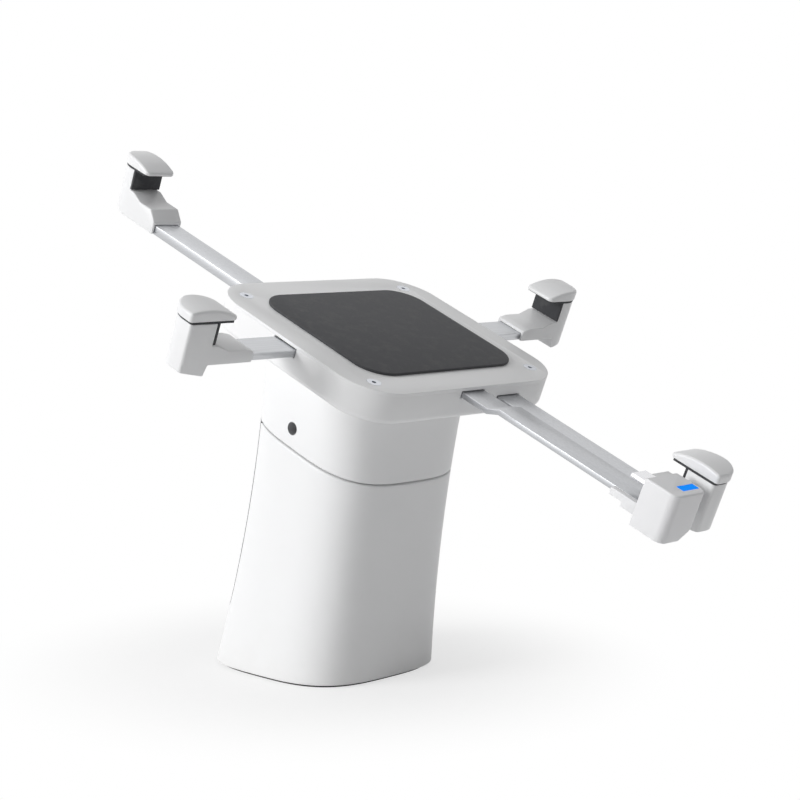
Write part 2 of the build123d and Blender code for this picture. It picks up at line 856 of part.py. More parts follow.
def claw_frame(outward, offset=0.0):
    """frame of one arm: +X outward, +Z out of the device's glass"""
    direction = seat.x_dir * outward[0] + seat.y_dir * outward[1]
    sideways = seat.z_dir.cross(direction)
    return Plane(origin=seat.origin + sideways * offset, x_dir=direction, z_dir=seat.z_dir)


def claw_side(frame):
    """plane that shows an arm from its side: +X outward, +Y out of the glass"""
    return Plane(origin=frame.origin, x_dir=frame.x_dir, z_dir=-frame.y_dir)


def claw_plan(plane, inner, outer, inner_round, far_side):
    """outline of a claw seen square on: its outer corner on the far side is well rounded"""
    half = claw_width / 2
    with BuildSketch(plane) as plan:
        with BuildLine():
            Polyline((inner, -half), (outer, -half), (outer, half), (inner, half), close=True)
        make_face()
        if inner_round:
            fillet(plan.vertices().sort_by(Axis.X)[:2], inner_round)
        for side, radius in ((far_side, far_corner), (-far_side, near_corner)):
            row = plan.vertices().sort_by(Axis.Y, reverse=side > 0)[:2]
            fillet(row.sort_by(Axis.X)[-1], radius)
    return plan.sketch


def bar_outline(frame, upper, shoulder, inner_end, grip):
    """plan of a side arm's bar: a stop head inside the hub and a plain shank"""
    half = bar_width / 2
    with BuildSketch(frame.offset(upper)) as plan:
        with BuildLine():
            Polyline(
                (inner_end, -stop_width / 2),
                (shoulder, -stop_width / 2),
                (shoulder, -half),
                (grip + tongue_start + bar_thickness, -half),
                (grip + tongue_start + bar_thickness, half),
                (shoulder, half),
                (shoulder, stop_width / 2),
                (inner_end, stop_width / 2),
                close=True,
            )
        make_face()
    return plan.sketch


def rack_outline(frame, upper, shoulder, inner_end, grip):
    """plan of a rack: teeth on the side of the pinion, and a plain shank beyond the shoulder"""
    half = bar_width / 2
    root = rack_root - arm_offset
    tip = rack_tip - arm_offset
    pitch = math.pi * gear_module
    slope = math.tan(pressure)
    tip_half = half_tooth - gear_module * slope
    root_half = half_tooth + gear_module * 1.25 * slope
    points = [(inner_end, half), (inner_end, root)]
    first = math.ceil((inner_end + root_half) / pitch - 0.5)
    last = math.floor((shoulder - root_half) / pitch - 0.5)
    for tooth in range(first, last + 1):
        middle = (tooth + 0.5) * pitch
        points.append((middle - root_half, root))
        points.append((middle - tip_half, tip))
        points.append((middle + tip_half, tip))
        points.append((middle + root_half, root))
    points.extend([
        (shoulder, root),
        (shoulder, -half),
        (grip + tongue_start + bar_thickness, -half),
        (grip + tongue_start + bar_thickness, half),
    ])
    with BuildSketch(frame.offset(upper)) as plan:
        with BuildLine():
            Polyline(*points, close=True)
        make_face()
    return plan.sketch


def bar(side, frame, plan, thickness, upper, grip):
    """a bar or rack cut from its plan, with the upturned end that its post is moulded round"""
    tongue = grip + tongue_start
    with BuildPart() as piece:
        extrude(plan, amount=-thickness)
        with BuildSketch(frame.offset(upper)):
            with Locations((tongue + bar_thickness / 2, 0)):
                Rectangle(bar_thickness, bar_width)
        extrude(amount=tongue_top - upper)
        corner = piece.edges().filter_by(Axis(frame.origin, frame.y_dir)).filter_by(
            lambda edge: abs(frame.to_local_coords(edge.center()).X - tongue) < fit_gap
            and abs(frame.to_local_coords(edge.center()).Z - upper) < fit_gap
        )
        fillet(corner, bar_bend)
    save(piece, f"{side}_arm")


def claw(side, frame, grip, bar_upper, thickness, far_side):
    """post, liner, cap and screw of one claw, from where its liner grips the device"""
    inner = grip + liner_leg
    outer = inner + post_thickness
    bar_lower = bar_upper - thickness
    tongue_outer = grip + tongue_start + bar_thickness + fit_gap
    view = claw_side(frame)
    screw_at = frame.origin + frame.x_dir * (outer - cap_screw_back)
    screw_place = Plane(origin=screw_at + frame.z_dir * post_top, x_dir=frame.x_dir, z_dir=frame.z_dir)
    head_place = Plane(origin=screw_at + frame.z_dir * cap_head_top, x_dir=frame.x_dir, z_dir=frame.z_dir)

    with BuildPart() as post:
        with BuildSketch(view) as profile:
            with BuildLine():
                Polyline(
                    (inner - heel_length, bar_lower),
                    (inner, bar_lower),
                    (inner + heel_step, post_inner_low),
                    (outer, post_outer_low),
                    (outer, post_top),
                    (inner, post_top),
                    (inner, heel_raised),
                    (inner - heel_flat, heel_raised),
                    (inner - heel_slope, heel_top),
                    (inner - heel_length + heel_nose, heel_top),
                    (inner - heel_length, bar_upper + heel_end_cover),
                    close=True,
                )
            make_face()
        extrude(amount=claw_width / 2, both=True)
        extrude(
            claw_plan(frame.offset(post_inner_low), inner - heel_length, outer, 0, far_side),
            amount=post_top - post_inner_low,
            mode=Mode.INTERSECT,
        )
        with BuildSketch(view):
            with BuildLine():
                Polyline(
                    (inner - heel_length, bar_lower),
                    (tongue_outer, bar_lower),
                    (tongue_outer, tongue_top + fit_gap),
                    (grip + tongue_start - fit_gap, tongue_top + fit_gap),
                    (grip + tongue_start - fit_gap, bar_upper + bar_bend + fit_gap),
                    (grip + tongue_start - bar_bend - fit_gap, bar_upper + fit_gap),
                    (inner - heel_length, bar_upper + fit_gap),
                    close=True,
                )
            make_face()
        extrude(amount=bar_width / 2 + fit_gap, both=True, mode=Mode.SUBTRACT)
        with Locations(screw_place):
            Cylinder(cap_boss_radius + fit_gap, cap_boss_length + fit_gap,
                     align=(Align.CENTER, Align.CENTER, Align.MAX), mode=Mode.SUBTRACT)
            Cylinder(cap_screw_radius + fit_gap, post_top - post_inner_low,
                     align=(Align.CENTER, Align.CENTER, Align.MAX), mode=Mode.SUBTRACT)
        with Locations(head_place):
            Cylinder(cap_screw_head + fit_gap, cap_head_height + heel_length,
                     align=(Align.CENTER, Align.CENTER, Align.MAX), mode=Mode.SUBTRACT)
    save(post, f"{side}_post")

    with BuildPart() as liner:
        with BuildSketch(view):
            with BuildLine():
                Polyline(
                    (grip - liner_reach, post_top),
                    (grip, post_top),
                    (grip, liner_leg_low),
                    (inner, liner_leg_low),
                    (inner, post_top),
                    (outer, post_top),
                    (outer, hook_under),
                    (grip - liner_reach, hook_under),
                    close=True,
                )
            make_face()
        extrude(amount=claw_width / 2, both=True)
        extrude(
            claw_plan(frame.offset(liner_leg_low), grip - liner_reach, outer, 0, far_side),
            amount=hook_under - liner_leg_low,
            mode=Mode.INTERSECT,
        )
        with Locations(screw_place):
            Cylinder(cap_boss_radius + fit_gap, liner_thickness,
                     align=(Align.CENTER, Align.CENTER, Align.MIN), mode=Mode.SUBTRACT)
    save(liner, f"{side}_liner")

    with BuildPart() as cap:
        with BuildSketch(view):
            with BuildLine():
                ThreePointArc(
                    (outer + cap_overhang, cap_outer_top),
                    (grip + cap_crest, cap_mid_top),
                    (grip - cap_reach, cap_tip_top),
                )
                Polyline(
                    (grip - cap_reach, cap_tip_top),
                    (grip - cap_reach, hook_under),
                    (outer + cap_overhang, hook_under),
                    (outer + cap_overhang, cap_outer_top),
                )
            make_face()
        extrude(amount=claw_width / 2, both=True)
        extrude(
            claw_plan(
                frame.offset(hook_under),
                grip - cap_reach,
                outer + cap_overhang,
                tip_corner,
                far_side,
            ),
            amount=cap_mid_top,
            mode=Mode.INTERSECT,
        )
        crown = cap.faces().sort_by(Axis(frame.origin, frame.z_dir))[-1]
        fillet(crown.edges(), cap_edge_round)
        with Locations(screw_place.offset(cap_screw_top - post_top)):
            Cylinder(cap_boss_radius, cap_screw_top - post_top + cap_boss_length,
                     align=(Align.CENTER, Align.CENTER, Align.MAX))
            Cylinder(cap_screw_radius + fit_gap, cap_screw_top - post_top + cap_boss_length,
                     align=(Align.CENTER, Align.CENTER, Align.MAX), mode=Mode.SUBTRACT)
    save(cap, f"{side}_cap")

    with BuildPart() as cap_screw:
        with Locations(head_place):
            Cylinder(cap_screw_radius, cap_screw_top - cap_head_top,
                     align=(Align.CENTER, Align.CENTER, Align.MIN))
            Cylinder(cap_screw_head, cap_head_height, align=(Align.CENTER, Align.CENTER, Align.MAX))
        with BuildSketch(head_place.offset(-cap_head_height)):
            RegularPolygon(cap_screw_radius * 0.8, 6)
        extrude(amount=cap_head_height / 2, mode=Mode.SUBTRACT)
    save(cap_screw, f"{side}_cap_screw")


grips = {
    "left": device_width / 2 + grip_clearance + left_draw_back,
    "right": device_width / 2 + grip_clearance,
    "top": device_length / 2 + grip_clearance,
    "bottom": device_length / 2 + grip_clearance,
}
for side, outward, drawn in (("left", (-1, 0), left_draw_back), ("right", (1, 0), 0)):
    frame = claw_frame(outward)
    plan = bar_outline(frame, bar_top, side_shoulder + drawn, side_inner_end + drawn, grips[side])
    bar(side, frame, plan, bar_thickness, bar_top, grips[side])
    claw(side, frame, grips[side], bar_top, bar_thickness, -1)
for side, outward in (("top", (0, 1)), ("bottom", (0, -1))):
    frame = claw_frame(outward, arm_offset)
    plan = rack_outline(frame, rack_top, rack_shoulder, rack_inner_end, grips[side])
    bar(side, frame, plan, rack_thickness, rack_top, grips[side])
    claw(side, frame, grips[side], rack_top, rack_thickness, 1)

# Sensor head: a block on a cranked strip that slides in the hub and plugs into the device

port = claw_frame((0, -1))
port_side = claw_side(port)
block_inner = device_length / 2 + block_standoff
block_outer = block_inner + block_depth
strip_top = bar_top
raised_top = bar_top + strip_raise

plug_plane = Plane(
    origin=port.origin + port.x_dir * block_inner - port.z_dir * device_thickness / 2,
    x_dir=port.y_dir,
    z_dir=port.x_dir,
)
block_face = Plane(
    origin=port.origin + port.x_dir * block_inner,
    x_dir=port.y_dir,
    z_dir=port.x_dir,
)
strip_screw_place = Plane(
    origin=port.origin + port.x_dir * (block_inner - boot_length / 2) + port.z_dir * boot_low,
    x_dir=port.x_dir,
    z_dir=-port.z_dir,
)

with BuildPart() as sensor_strip:
    with BuildSketch(port_side):
        with BuildLine():
            Polyline(
                (strip_inner_end, strip_top),
                (joggle_start, strip_top),
                (joggle_start + joggle_length, raised_top),
                (block_inner + strip_grip, raised_top),
                (block_inner + strip_grip, raised_top - strip_thickness),
                (joggle_start + joggle_length, raised_top - strip_thickness),
                (joggle_start, strip_low),
                (strip_inner_end, strip_low),
                close=True,
            )
        make_face()
    extrude(amount=strip_width / 2, both=True)
    with BuildSketch(port.offset(strip_top)):
        with Locations(((strip_inner_end + strip_shoulder) / 2, 0)):
            Rectangle(stop_length, strip_stop_width)
    extrude(amount=-strip_thickness)
    with Locations(strip_screw_place):
        Cylinder(strip_screw_radius + fit_gap, raised_top - boot_low,
                 align=(Align.CENTER, Align.CENTER, Align.MAX), mode=Mode.SUBTRACT)
save(sensor_strip, "sensor_strip")

with BuildPart() as sensor_boot:
    with BuildSketch(port_side):
        with BuildLine():
            Polyline(
                (block_inner - boot_length - boot_tail_length, raised_top),
                (block_inner, raised_top),
                (block_inner, boot_low),
                (block_inner - boot_length, boot_low),
                (block_inner - boot_length, boot_tail_low),
                (block_inner - boot_length - boot_tail_length, boot_tail_low),
                close=True,
            )
        make_face()
    extrude(amount=block_half_width - fit_gap, both=True)
    with BuildSketch(port.offset(raised_top)):
        with Locations((block_inner, 0)):
            Rectangle(boot_length + boot_tail_length, strip_width + 2 * fit_gap,
                      align=(Align.MAX, Align.CENTER))
    extrude(amount=-strip_thickness - fit_gap, mode=Mode.SUBTRACT)
    with Locations(strip_screw_place):
        Cylinder(strip_screw_radius + fit_gap, raised_top - boot_low,
                 align=(Align.CENTER, Align.CENTER, Align.MAX), mode=Mode.SUBTRACT)
save(sensor_boot, "sensor_boot")

with BuildPart() as sensor_screw:
    with Locations(strip_screw_place):
        Cylinder(strip_screw_radius, raised_top - boot_low,
                 align=(Align.CENTER, Align.CENTER, Align.MAX))
        Cylinder(strip_screw_head, strip_head_height,
                 align=(Align.CENTER, Align.CENTER, Align.MIN))
    with BuildSketch(strip_screw_place.offset(strip_head_height)):
        RegularPolygon(strip_screw_radius * 0.7, 6)
    extrude(amount=-strip_head_height / 2, mode=Mode.SUBTRACT)
save(sensor_screw, "sensor_screw")

with BuildPart() as sensor_block:
    with BuildSketch(block_face):
        with BuildLine():
            Polyline(
                (-block_half_width, block_top),
                (block_half_width, block_top),
                (block_half_width, block_bottom + block_cut_height),
                (block_half_width - block_cut_width, block_bottom),
                (-block_half_width, block_bottom),
                close=True,
            )
        make_face()
    extrude(amount=block_depth)
    upright = sensor_block.edges().filter_by(Axis(port.origin, port.z_dir))
    fillet(upright.sort_by(Axis(port.origin, port.x_dir))[2:], block_edge_round)
    fillet(sensor_block.faces().sort_by(Axis(port.origin, port.z_dir))[-1].edges(), block_top_round)
    with BuildSketch(port.offset(raised_top)):
        with Locations((block_inner, 0)):
            Rectangle(strip_grip + fit_gap, strip_width + 2 * fit_gap,
                      align=(Align.MIN, Align.CENTER))
    extrude(amount=-strip_thickness, mode=Mode.SUBTRACT)
    with BuildSketch(port.offset(block_top)):
        with Locations((block_outer - window_back, window_centre)):
            Rectangle(window_depth + 2 * fit_gap, window_width + 2 * fit_gap)
    extrude(amount=-window_thickness, mode=Mode.SUBTRACT)
    with BuildSketch(plug_plane):
        RectangleRounded(plug_width + 2 * fit_gap, plug_height + 2 * fit_gap, plug_height / 2)
    extrude(amount=plug_root, mode=Mode.SUBTRACT)
save(sensor_block, "sensor_block")

with BuildPart() as sensor_window:
    with BuildSketch(port.offset(block_top)):
        with Locations((block_outer - window_back, window_centre)):
            Rectangle(window_depth, window_width)
    extrude(amount=-window_thickness)
save(sensor_window, "sensor_window")

with BuildPart() as sensor_plug:
    with BuildSketch(plug_plane):
        RectangleRounded(plug_width, plug_height, plug_height / 2 - fit_gap)
    extrude(amount=plug_root)
    extrude(sensor_plug.faces().sort_by(Axis(port.origin, port.x_dir))[0], amount=plug_length)
save(sensor_plug, "sensor_plug")
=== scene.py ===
# %% [markdown]
# An anti-theft display stand: a leaning white column, a head that turns on it, and a cradle of four
# sliding claws with a sensor beside them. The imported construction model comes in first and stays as
# it is. Its inner pieces only need a finish. The moulded skins would show their facets in the soft
# highlights of satin plastic, so they are made again here as finer meshes, and copies of the other
# outer pieces get softened edges.

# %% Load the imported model
import json
import math

import bmesh
import bpy
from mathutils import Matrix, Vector


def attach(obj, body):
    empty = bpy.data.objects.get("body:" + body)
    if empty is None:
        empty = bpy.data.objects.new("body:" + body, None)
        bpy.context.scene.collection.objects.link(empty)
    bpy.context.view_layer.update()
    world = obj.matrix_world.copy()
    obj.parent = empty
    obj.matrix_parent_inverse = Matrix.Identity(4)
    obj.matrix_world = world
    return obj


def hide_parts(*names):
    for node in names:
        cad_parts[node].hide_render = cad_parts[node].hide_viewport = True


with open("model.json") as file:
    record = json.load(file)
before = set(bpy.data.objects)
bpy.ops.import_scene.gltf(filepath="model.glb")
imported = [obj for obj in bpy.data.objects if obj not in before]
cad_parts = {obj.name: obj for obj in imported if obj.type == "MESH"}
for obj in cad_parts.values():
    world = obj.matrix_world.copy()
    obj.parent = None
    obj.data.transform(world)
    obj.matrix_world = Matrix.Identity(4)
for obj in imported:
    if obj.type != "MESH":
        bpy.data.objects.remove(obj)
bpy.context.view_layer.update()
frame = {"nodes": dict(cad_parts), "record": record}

# %% [markdown]
# Lengths are written in millimetres, as a maker thinks of them, and turned into metres when a mesh
# is built. What the claws hold leans back by 22.5 degrees. The middle of its front, the "seat", is
# the place that the head, the hub and the claws are all set out from. Each of them could carry its
# own slanted numbers, but two short functions between the seat's frame and the room are safer.

# %% The seat's frame
MM = 0.001
SEAT_TILT = math.radians(22.5)
SEAT_PLACE = Vector((0, -31.8, 109.8))
SEAT_UP = Vector((0, -math.sin(SEAT_TILT), math.cos(SEAT_TILT)))
SEAT_BACK = Vector((0, math.cos(SEAT_TILT), math.sin(SEAT_TILT)))


def seat_point(x, y, depth):
    """a place of the seat's frame, in the room's millimetres"""
    return SEAT_PLACE + Vector((x, 0, 0)) + SEAT_BACK * y + SEAT_UP * depth


def seat_depth(point):
    """how far a place of the room lies above the seat, square to it"""
    return (point - SEAT_PLACE).dot(SEAT_UP)


print("the seat looks along", tuple(round(value, 3) for value in SEAT_UP))

# %% [markdown]
# The camera stands on the left, in front of the stand and a little above the seat, and looks down
# by 6 degrees through a long lens. It could be placed by eye, but then shapes that are right would
# look wrong, so its place, turn and lens were solved from the photograph as a pinhole view.

# %% Camera
CAMERA_PLACE = Vector((-377.1, -403.6, 138.0))
CAMERA_RISE, CAMERA_TURN = math.radians(84.02), math.radians(-45.48)
SENSOR_WIDTH, LENS = 36.0, 82.99

camera_data = bpy.data.cameras.new("camera")
camera_data.sensor_width = SENSOR_WIDTH
camera_data.lens = LENS
camera_data.clip_start = 0.01
camera_data.clip_end = 50.0
camera = bpy.data.objects.new("camera", camera_data)
camera.location = CAMERA_PLACE * MM
camera.rotation_euler = (CAMERA_RISE, 0.0, CAMERA_TURN)
bpy.context.scene.collection.objects.link(camera)
bpy.context.scene.camera = camera
print("camera stands", round(camera.location.length, 3), "m from the foot")

# %% [markdown]
# A product photograph is lit by few and large lamps, because small ones draw hard edges. One broad
# soft lamp on the left makes the column's left flank nearly white and lets its front fall into grey.
# A weak one above finds the tops of the claws, and a weaker one in front lifts the shadows.

# %% Lamps
LIT_MIDDLE = Vector((0, -0.02, 0.08))


def lamp(name, place, size, power):
    """a soft square lamp that looks at the middle of the stand; all in metres and watts"""
    data = bpy.data.lights.new(name, "AREA")
    data.shape = "SQUARE"
    data.size = size
    data.energy = power
    lit = bpy.data.objects.new(name, data)
    lit.location = place
    lit.rotation_euler = (LIT_MIDDLE - Vector(place)).to_track_quat("-Z", "Y").to_euler()
    bpy.context.scene.collection.objects.link(lit)


lamp("lamp_left", (-1.5, 0.55, 0.75), 0.8, 23.0)
lamp("lamp_above", (0.1, 0.25, 1.5), 1.2, 4.0)
lamp("lamp_front", (0.55, -1.5, 0.55), 1.2, 0.9)
print("lamps:", len(bpy.data.lights))

# %% [markdown]
# The surroundings are a white studio. Seen by the camera, in a mirror image or through something
# clear they are pure white, but as strong a light from all sides would flatten every form. So two
# backgrounds are mixed by the kind of ray that asks: the one that lights the stand is much weaker.

# %% Surroundings
FILL = 0.25

world = bpy.data.worlds.new("surroundings")
bpy.context.scene.world = world
world.use_nodes = True
world_nodes = world.node_tree.nodes
world_links = world.node_tree.links
world_nodes.clear()
seen_background = world_nodes.new("ShaderNodeBackground")
seen_background.inputs["Color"].default_value = (1, 1, 1, 1)
seen_background.inputs["Strength"].default_value = 1.0
lit_background = world_nodes.new("ShaderNodeBackground")
lit_background.inputs["Color"].default_value = (0.99, 0.995, 1, 1)
lit_background.inputs["Strength"].default_value = FILL
choice = world_nodes.new("ShaderNodeMixShader")
ray = world_nodes.new("ShaderNodeLightPath")
seen = ray.outputs["Is Camera Ray"]
for kind in ("Is Glossy Ray", "Is Transmission Ray"):
    either = world_nodes.new("ShaderNodeMath")
    either.operation = "MAXIMUM"
    world_links.new(seen, either.inputs[0])
    world_links.new(ray.outputs[kind], either.inputs[1])
    seen = either.outputs[0]
world_links.new(seen, choice.inputs[0])
world_links.new(lit_background.outputs[0], choice.inputs[1])
world_links.new(seen_background.outputs[0], choice.inputs[2])
world_output = world_nodes.new("ShaderNodeOutputWorld")
world_links.new(choice.outputs[0], world_output.inputs["Surface"])
bpy.context.scene.view_settings.view_transform = "Standard"
print("surroundings light the object at", FILL)

# %% [markdown]
# Finishes could be drawn by hand as nodes, but a recipe is easier to read as a sum. A `Wire` holds
# one value of a shader, and adding or multiplying two of them adds the Math node that does it.


# %% Numbers that a shader works out
class Wire:
    """one value of a shader, with the operators that the recipes use"""

    def __init__(self, finish, socket):
        self.finish = finish
        self.socket = socket

    def _sum(self, operation, first, second):
        return self.finish.node("ShaderNodeMath", {"operation": operation}, {0: first, 1: second})

    def __add__(self, other):
        return self._sum("ADD", self, other)

    def __radd__(self, other):
        return self._sum("ADD", other, self)

    def __sub__(self, other):
        return self._sum("SUBTRACT", self, other)

    def __rsub__(self, other):
        return self._sum("SUBTRACT", other, self)

    def __mul__(self, other):
        return self._sum("MULTIPLY", self, other)

    def __rmul__(self, other):
        return self._sum("MULTIPLY", other, self)

    def __pow__(self, other):
        return self._sum("POWER", self, other)

    def __abs__(self):
        return self._sum("ABSOLUTE", self, 0.0)

    def at_least(self, other):
        """this value, or the other one where that is greater"""
        return self._sum("MAXIMUM", self, other)


print("a wire can be added, multiplied and raised to a power")

# %% [markdown]
# A `Finish` makes a material and its nodes. Patterns could be laid on by unwrapping each mesh, but
# the grain would then change size from piece to piece. Every pattern uses the object's coordinates
# instead, which are the room's metres at rest, so the grain is true to size and nothing slides over
# a claw when it moves.


# %% Materials and their nodes
class Finish:
    """a material with one main shader and the nodes that vary it"""

    def __init__(self, name):
        self.material = bpy.data.materials.new(name)
        self.material.use_nodes = True
        self.tree = self.material.node_tree
        self.shader = self.tree.nodes["Principled BSDF"]
        self.places = self.node("ShaderNodeTexCoord", {}, {}, "Object")

    def node(self, kind, settings, values, output=0):
        """add a node: its settings or a ramp's stops first, then its sockets' values or links"""
        made = self.tree.nodes.new(kind)
        for key, value in settings.items():
            if key == "stops":
                ramp = made.color_ramp.elements
                while len(ramp) < len(value):
                    ramp.new(0.5)
                for element, (position, shade) in zip(ramp, value):
                    element.position = position
                    element.color = (shade, shade, shade, 1)
            else:
                setattr(made, key, value)
        for key, value in values.items():
            self.feed(made.inputs[key], value)
        return Wire(self, made.outputs[output])

    def feed(self, socket, value):
        """give a socket a link or a constant"""
        if isinstance(value, Wire):
            self.tree.links.new(value.socket, socket)
        elif isinstance(value, tuple) and len(socket.default_value) == 4 and len(value) == 3:
            socket.default_value = (*value, 1)
        else:
            socket.default_value = value

    def set(self, **values):
        """feed the main shader's sockets: Base_Color stands for Base Color"""
        for key, value in values.items():
            self.feed(self.shader.inputs[key.replace("_", " ")], value)
        return self

    def coordinates(self):
        """the three coordinates of the object, as separate numbers"""
        parts = self.node("ShaderNodeSeparateXYZ", {}, {0: self.places})
        return [Wire(self, parts.socket.node.outputs[axis]) for axis in "XYZ"]

    def vector(self, operation, first, second):
        """one Vector Math node"""
        return self.node("ShaderNodeVectorMath", {"operation": operation}, {0: first, 1: second})

    def length(self, vector):
        """how long a vector is, as a number"""
        return self.node("ShaderNodeVectorMath", {"operation": "LENGTH"}, {0: vector}, "Value")

    def noise(self, scale, detail=2.0, roughness=0.5, stretch=None, turn=0.0):
        """cloudy pattern of that many blotches to a metre, longer along some axes if stretched"""
        places = self.places
        if stretch:
            places = self.node("ShaderNodeMapping", {}, {
                "Vector": places, "Rotation": (turn, 0.0, 0.0), "Scale": stretch})
        return self.node("ShaderNodeTexNoise", {}, {
            "Vector": places, "Scale": scale, "Detail": detail, "Roughness": roughness})

    def slope(self, value, start, end, first, last):
        """run evenly from a first number to a last one while a value goes from start to end"""
        return self.node("ShaderNodeMapRange", {}, {
            "Value": value, 1: start, 2: end, 3: first, 4: last})

    def steps(self, value, *stops):
        """turn a value into another by a ramp of (position, shade) stops"""
        return self.node("ShaderNodeValToRGB", {"stops": stops}, {"Fac": value})

    def tint(self, amount, first, second):
        """mix two colours"""
        return self.node("ShaderNodeMix", {"data_type": "RGBA"}, {
            0: amount, 6: first, 7: second}, 2)

    def relief(self, height, depth, strength=1.0):
        """make the surface look raised: a height of one stands for a depth in metres"""
        normal = self.node("ShaderNodeBump", {}, {
            "Height": height, "Distance": depth, "Strength": strength}, "Normal")
        return self.set(Normal=normal)


print("finishes can be written now")

# %% [markdown]
# Besides the slanted seam, two dark marks break the white column: the port in the head's left flank
# that a key goes through, and the seam round the cover at the back. Both are real hollows, made
# further down. The lamps would leave their white walls too bright, so both also get painted shade,
# a mask that is worked out from the same sizes as the hollows.

# %% Where the key port and the cover's seam lie
LEAN = 0.2153
PORT_BACK, PORT_DEPTH, PORT_END = 2.1, -38.5, -12.0
KEY_RADIUS, KEY_FADE, END_FADE = 1.9, 0.15, 2.0
COVER_HALF, COVER_LOW, COVER_ROUND, SEAM = 23.0, 16.0, 5.0, 0.3
SEAM_SPILL, SEAM_FADE = 0.06, 0.02


def port_point(x):
    """a place on the axis of the key port, which runs along x"""
    return seat_point(x, PORT_BACK, PORT_DEPTH)


def port_shade_mask(finish):
    """painted shade: one within the bore of the key port and none outside"""
    away = finish.vector("SUBTRACT", finish.places, tuple(port_point(PORT_END) * MM))
    radius = finish.length(finish.vector("MULTIPLY", away, (0.0, 1.0, 1.0)))
    bore = finish.slope(radius, KEY_RADIUS * MM, (KEY_RADIUS + KEY_FADE) * MM, 1.0, 0.0)
    x = finish.coordinates()[0]
    left = finish.slope(x, PORT_END * MM, (PORT_END + END_FADE) * MM, 1.0, 0.0)
    return bore * left


def seam_shade_mask(finish):
    """painted shade: one within the seam round the rear cover and none beside it"""
    x, y, z = finish.coordinates()
    beside = (abs(x) - (COVER_HALF - COVER_ROUND) * MM).at_least(0.0)
    below = ((COVER_LOW + COVER_ROUND) * MM - z).at_least(0.0)
    reach = (beside * beside + below * below) ** 0.5
    inner, outer = (COVER_ROUND - SEAM - SEAM_SPILL) * MM, (COVER_ROUND + SEAM_SPILL) * MM
    past_cover = finish.slope(reach, inner - SEAM_FADE * MM, inner, 0.0, 1.0)
    before_tower = finish.slope(reach, outer, outer + SEAM_FADE * MM, 1.0, 0.0)
    behind = finish.slope(y + z * LEAN, 0.0, MM, 0.0, 1.0)
    return past_cover * before_tower * behind


print("the key port is", 2 * KEY_RADIUS, "mm across and the seam", SEAM, "mm wide")

# %% [markdown]
# The white shells are injection-moulded plastic with a fine spark-eroded grain: satin, faintly
# blotchy where the melt cooled, and on the tower a little duller near the foot, where dust and
# hands have been. One colour with a smooth gloss would be simpler and would look like wet paint,
# so three sizes of noise vary the tone and the gloss and raise a grain that breaks the highlight.

# %% Moulded white plastic
SHELL = (0.85, 0.852, 0.856), (0.81, 0.812, 0.818), 0.30
# painted shade for the key port's bore and for the cover's seam, then the colour of real dust near the
# foot
PORT_PAINTED_SHADE, SEAM_PAINTED_SHADE, DUST = (0.42, 0.42, 0.43), (0.07, 0.07, 0.072), (0.62, 0.61, 0.585)


def moulded(name, colour, shade, base_roughness, handled_below=0.0, painted_shade=None):
    """satin moulded plastic: dusty below a height in metres, with painted shade where a mask marks it
    """
    finish = Finish(name)
    clouds = finish.noise(28.0, 3.0)
    grain = finish.noise(2300.0, 2.0, 0.6)
    wiped = finish.noise(75.0, 4.0, 0.6)
    base = finish.tint(clouds * 0.5 + wiped * 0.3, colour, shade)
    roughness = base_roughness + wiped * 0.14 + grain * 0.05
    if handled_below:
        near_foot = finish.slope(finish.coordinates()[2], 0.0, handled_below, 1.0, 0.0)
        dust = near_foot ** 2.0 * wiped
        base = finish.tint(dust * 0.35, base, DUST)
        roughness = roughness + dust * 0.2
    # painted shade: the mask darkens the colour, in the key port's bore or the cover's seam
    if painted_shade:
        mask, dark = painted_shade
        base = finish.tint(mask(finish), base, dark)
    finish.set(Base_Color=base, Roughness=roughness, IOR=1.49)
    return finish.relief(grain + wiped * 0.4, 0.000012, 0.6)


shell_white = moulded("shell_white", *SHELL)
# the tower's plastic carries painted shade in the seam round the rear cover
tower_white = moulded("tower_white", *SHELL, handled_below=0.03, painted_shade=(seam_shade_mask, SEAM_PAINTED_SHADE))
# the head's plastic carries painted shade inside the key port's bore
head_white = moulded("head_white", *SHELL, painted_shade=(port_shade_mask, PORT_PAINTED_SHADE))
claw_white = moulded("claw_white", (0.80, 0.802, 0.808), (0.755, 0.758, 0.766), 0.26)
sensor_white = moulded("sensor_white", (0.80, 0.80, 0.81), (0.76, 0.76, 0.775), 0.28)
print("the tower's plastic is made of", len(tower_white.tree.nodes), "shader nodes")

# %% [markdown]
# The linings are silicone rubber: dark and matt, with a very fine grain and the pale dust that such
# rubber always collects. Plain black would lose their shape in the shade, so dust is scattered by a
# ramp that keeps only the peaks of a noise. The foot pad is foamed, so cells add small pits to it.


# %% Rubber
def silicone(name, colour, pits=0.0):
    """dark matt rubber, pitted if it is foamed"""
    finish = Finish(name)
    grain = finish.noise(1700.0, 3.0, 0.65)
    dust = finish.steps(finish.noise(240.0, 5.0, 0.7), (0.48, 0.0), (0.75, 1.0))
    base = finish.tint(dust * 0.16, colour, (0.30, 0.30, 0.29))
    height = grain * 0.5
    if pits:
        cells = finish.node("ShaderNodeTexVoronoi", {}, {
            "Vector": finish.places, "Scale": 900.0}, "Distance")
        height = height + cells * pits
    finish.set(Base_Color=base, Roughness=0.62 + grain * 0.2 + dust * 0.1, IOR=1.41)
    return finish.relief(height, 0.00003, 0.7)


liner_dark = silicone("liner_dark", (0.035, 0.036, 0.04))
pad_dark = silicone("pad_dark", (0.045, 0.046, 0.05))
foot_dark = silicone("foot_dark", (0.03, 0.03, 0.03), 0.8)
print("the foot's rubber is made of", len(foot_dark.tree.nodes), "shader nodes")

# %% [markdown]
# The arms are drawn flat bar, brushed along their length and anodised. A special shader can stretch
# a highlight, but streaks that vary colour and gloss show the brush as well and can be baked.


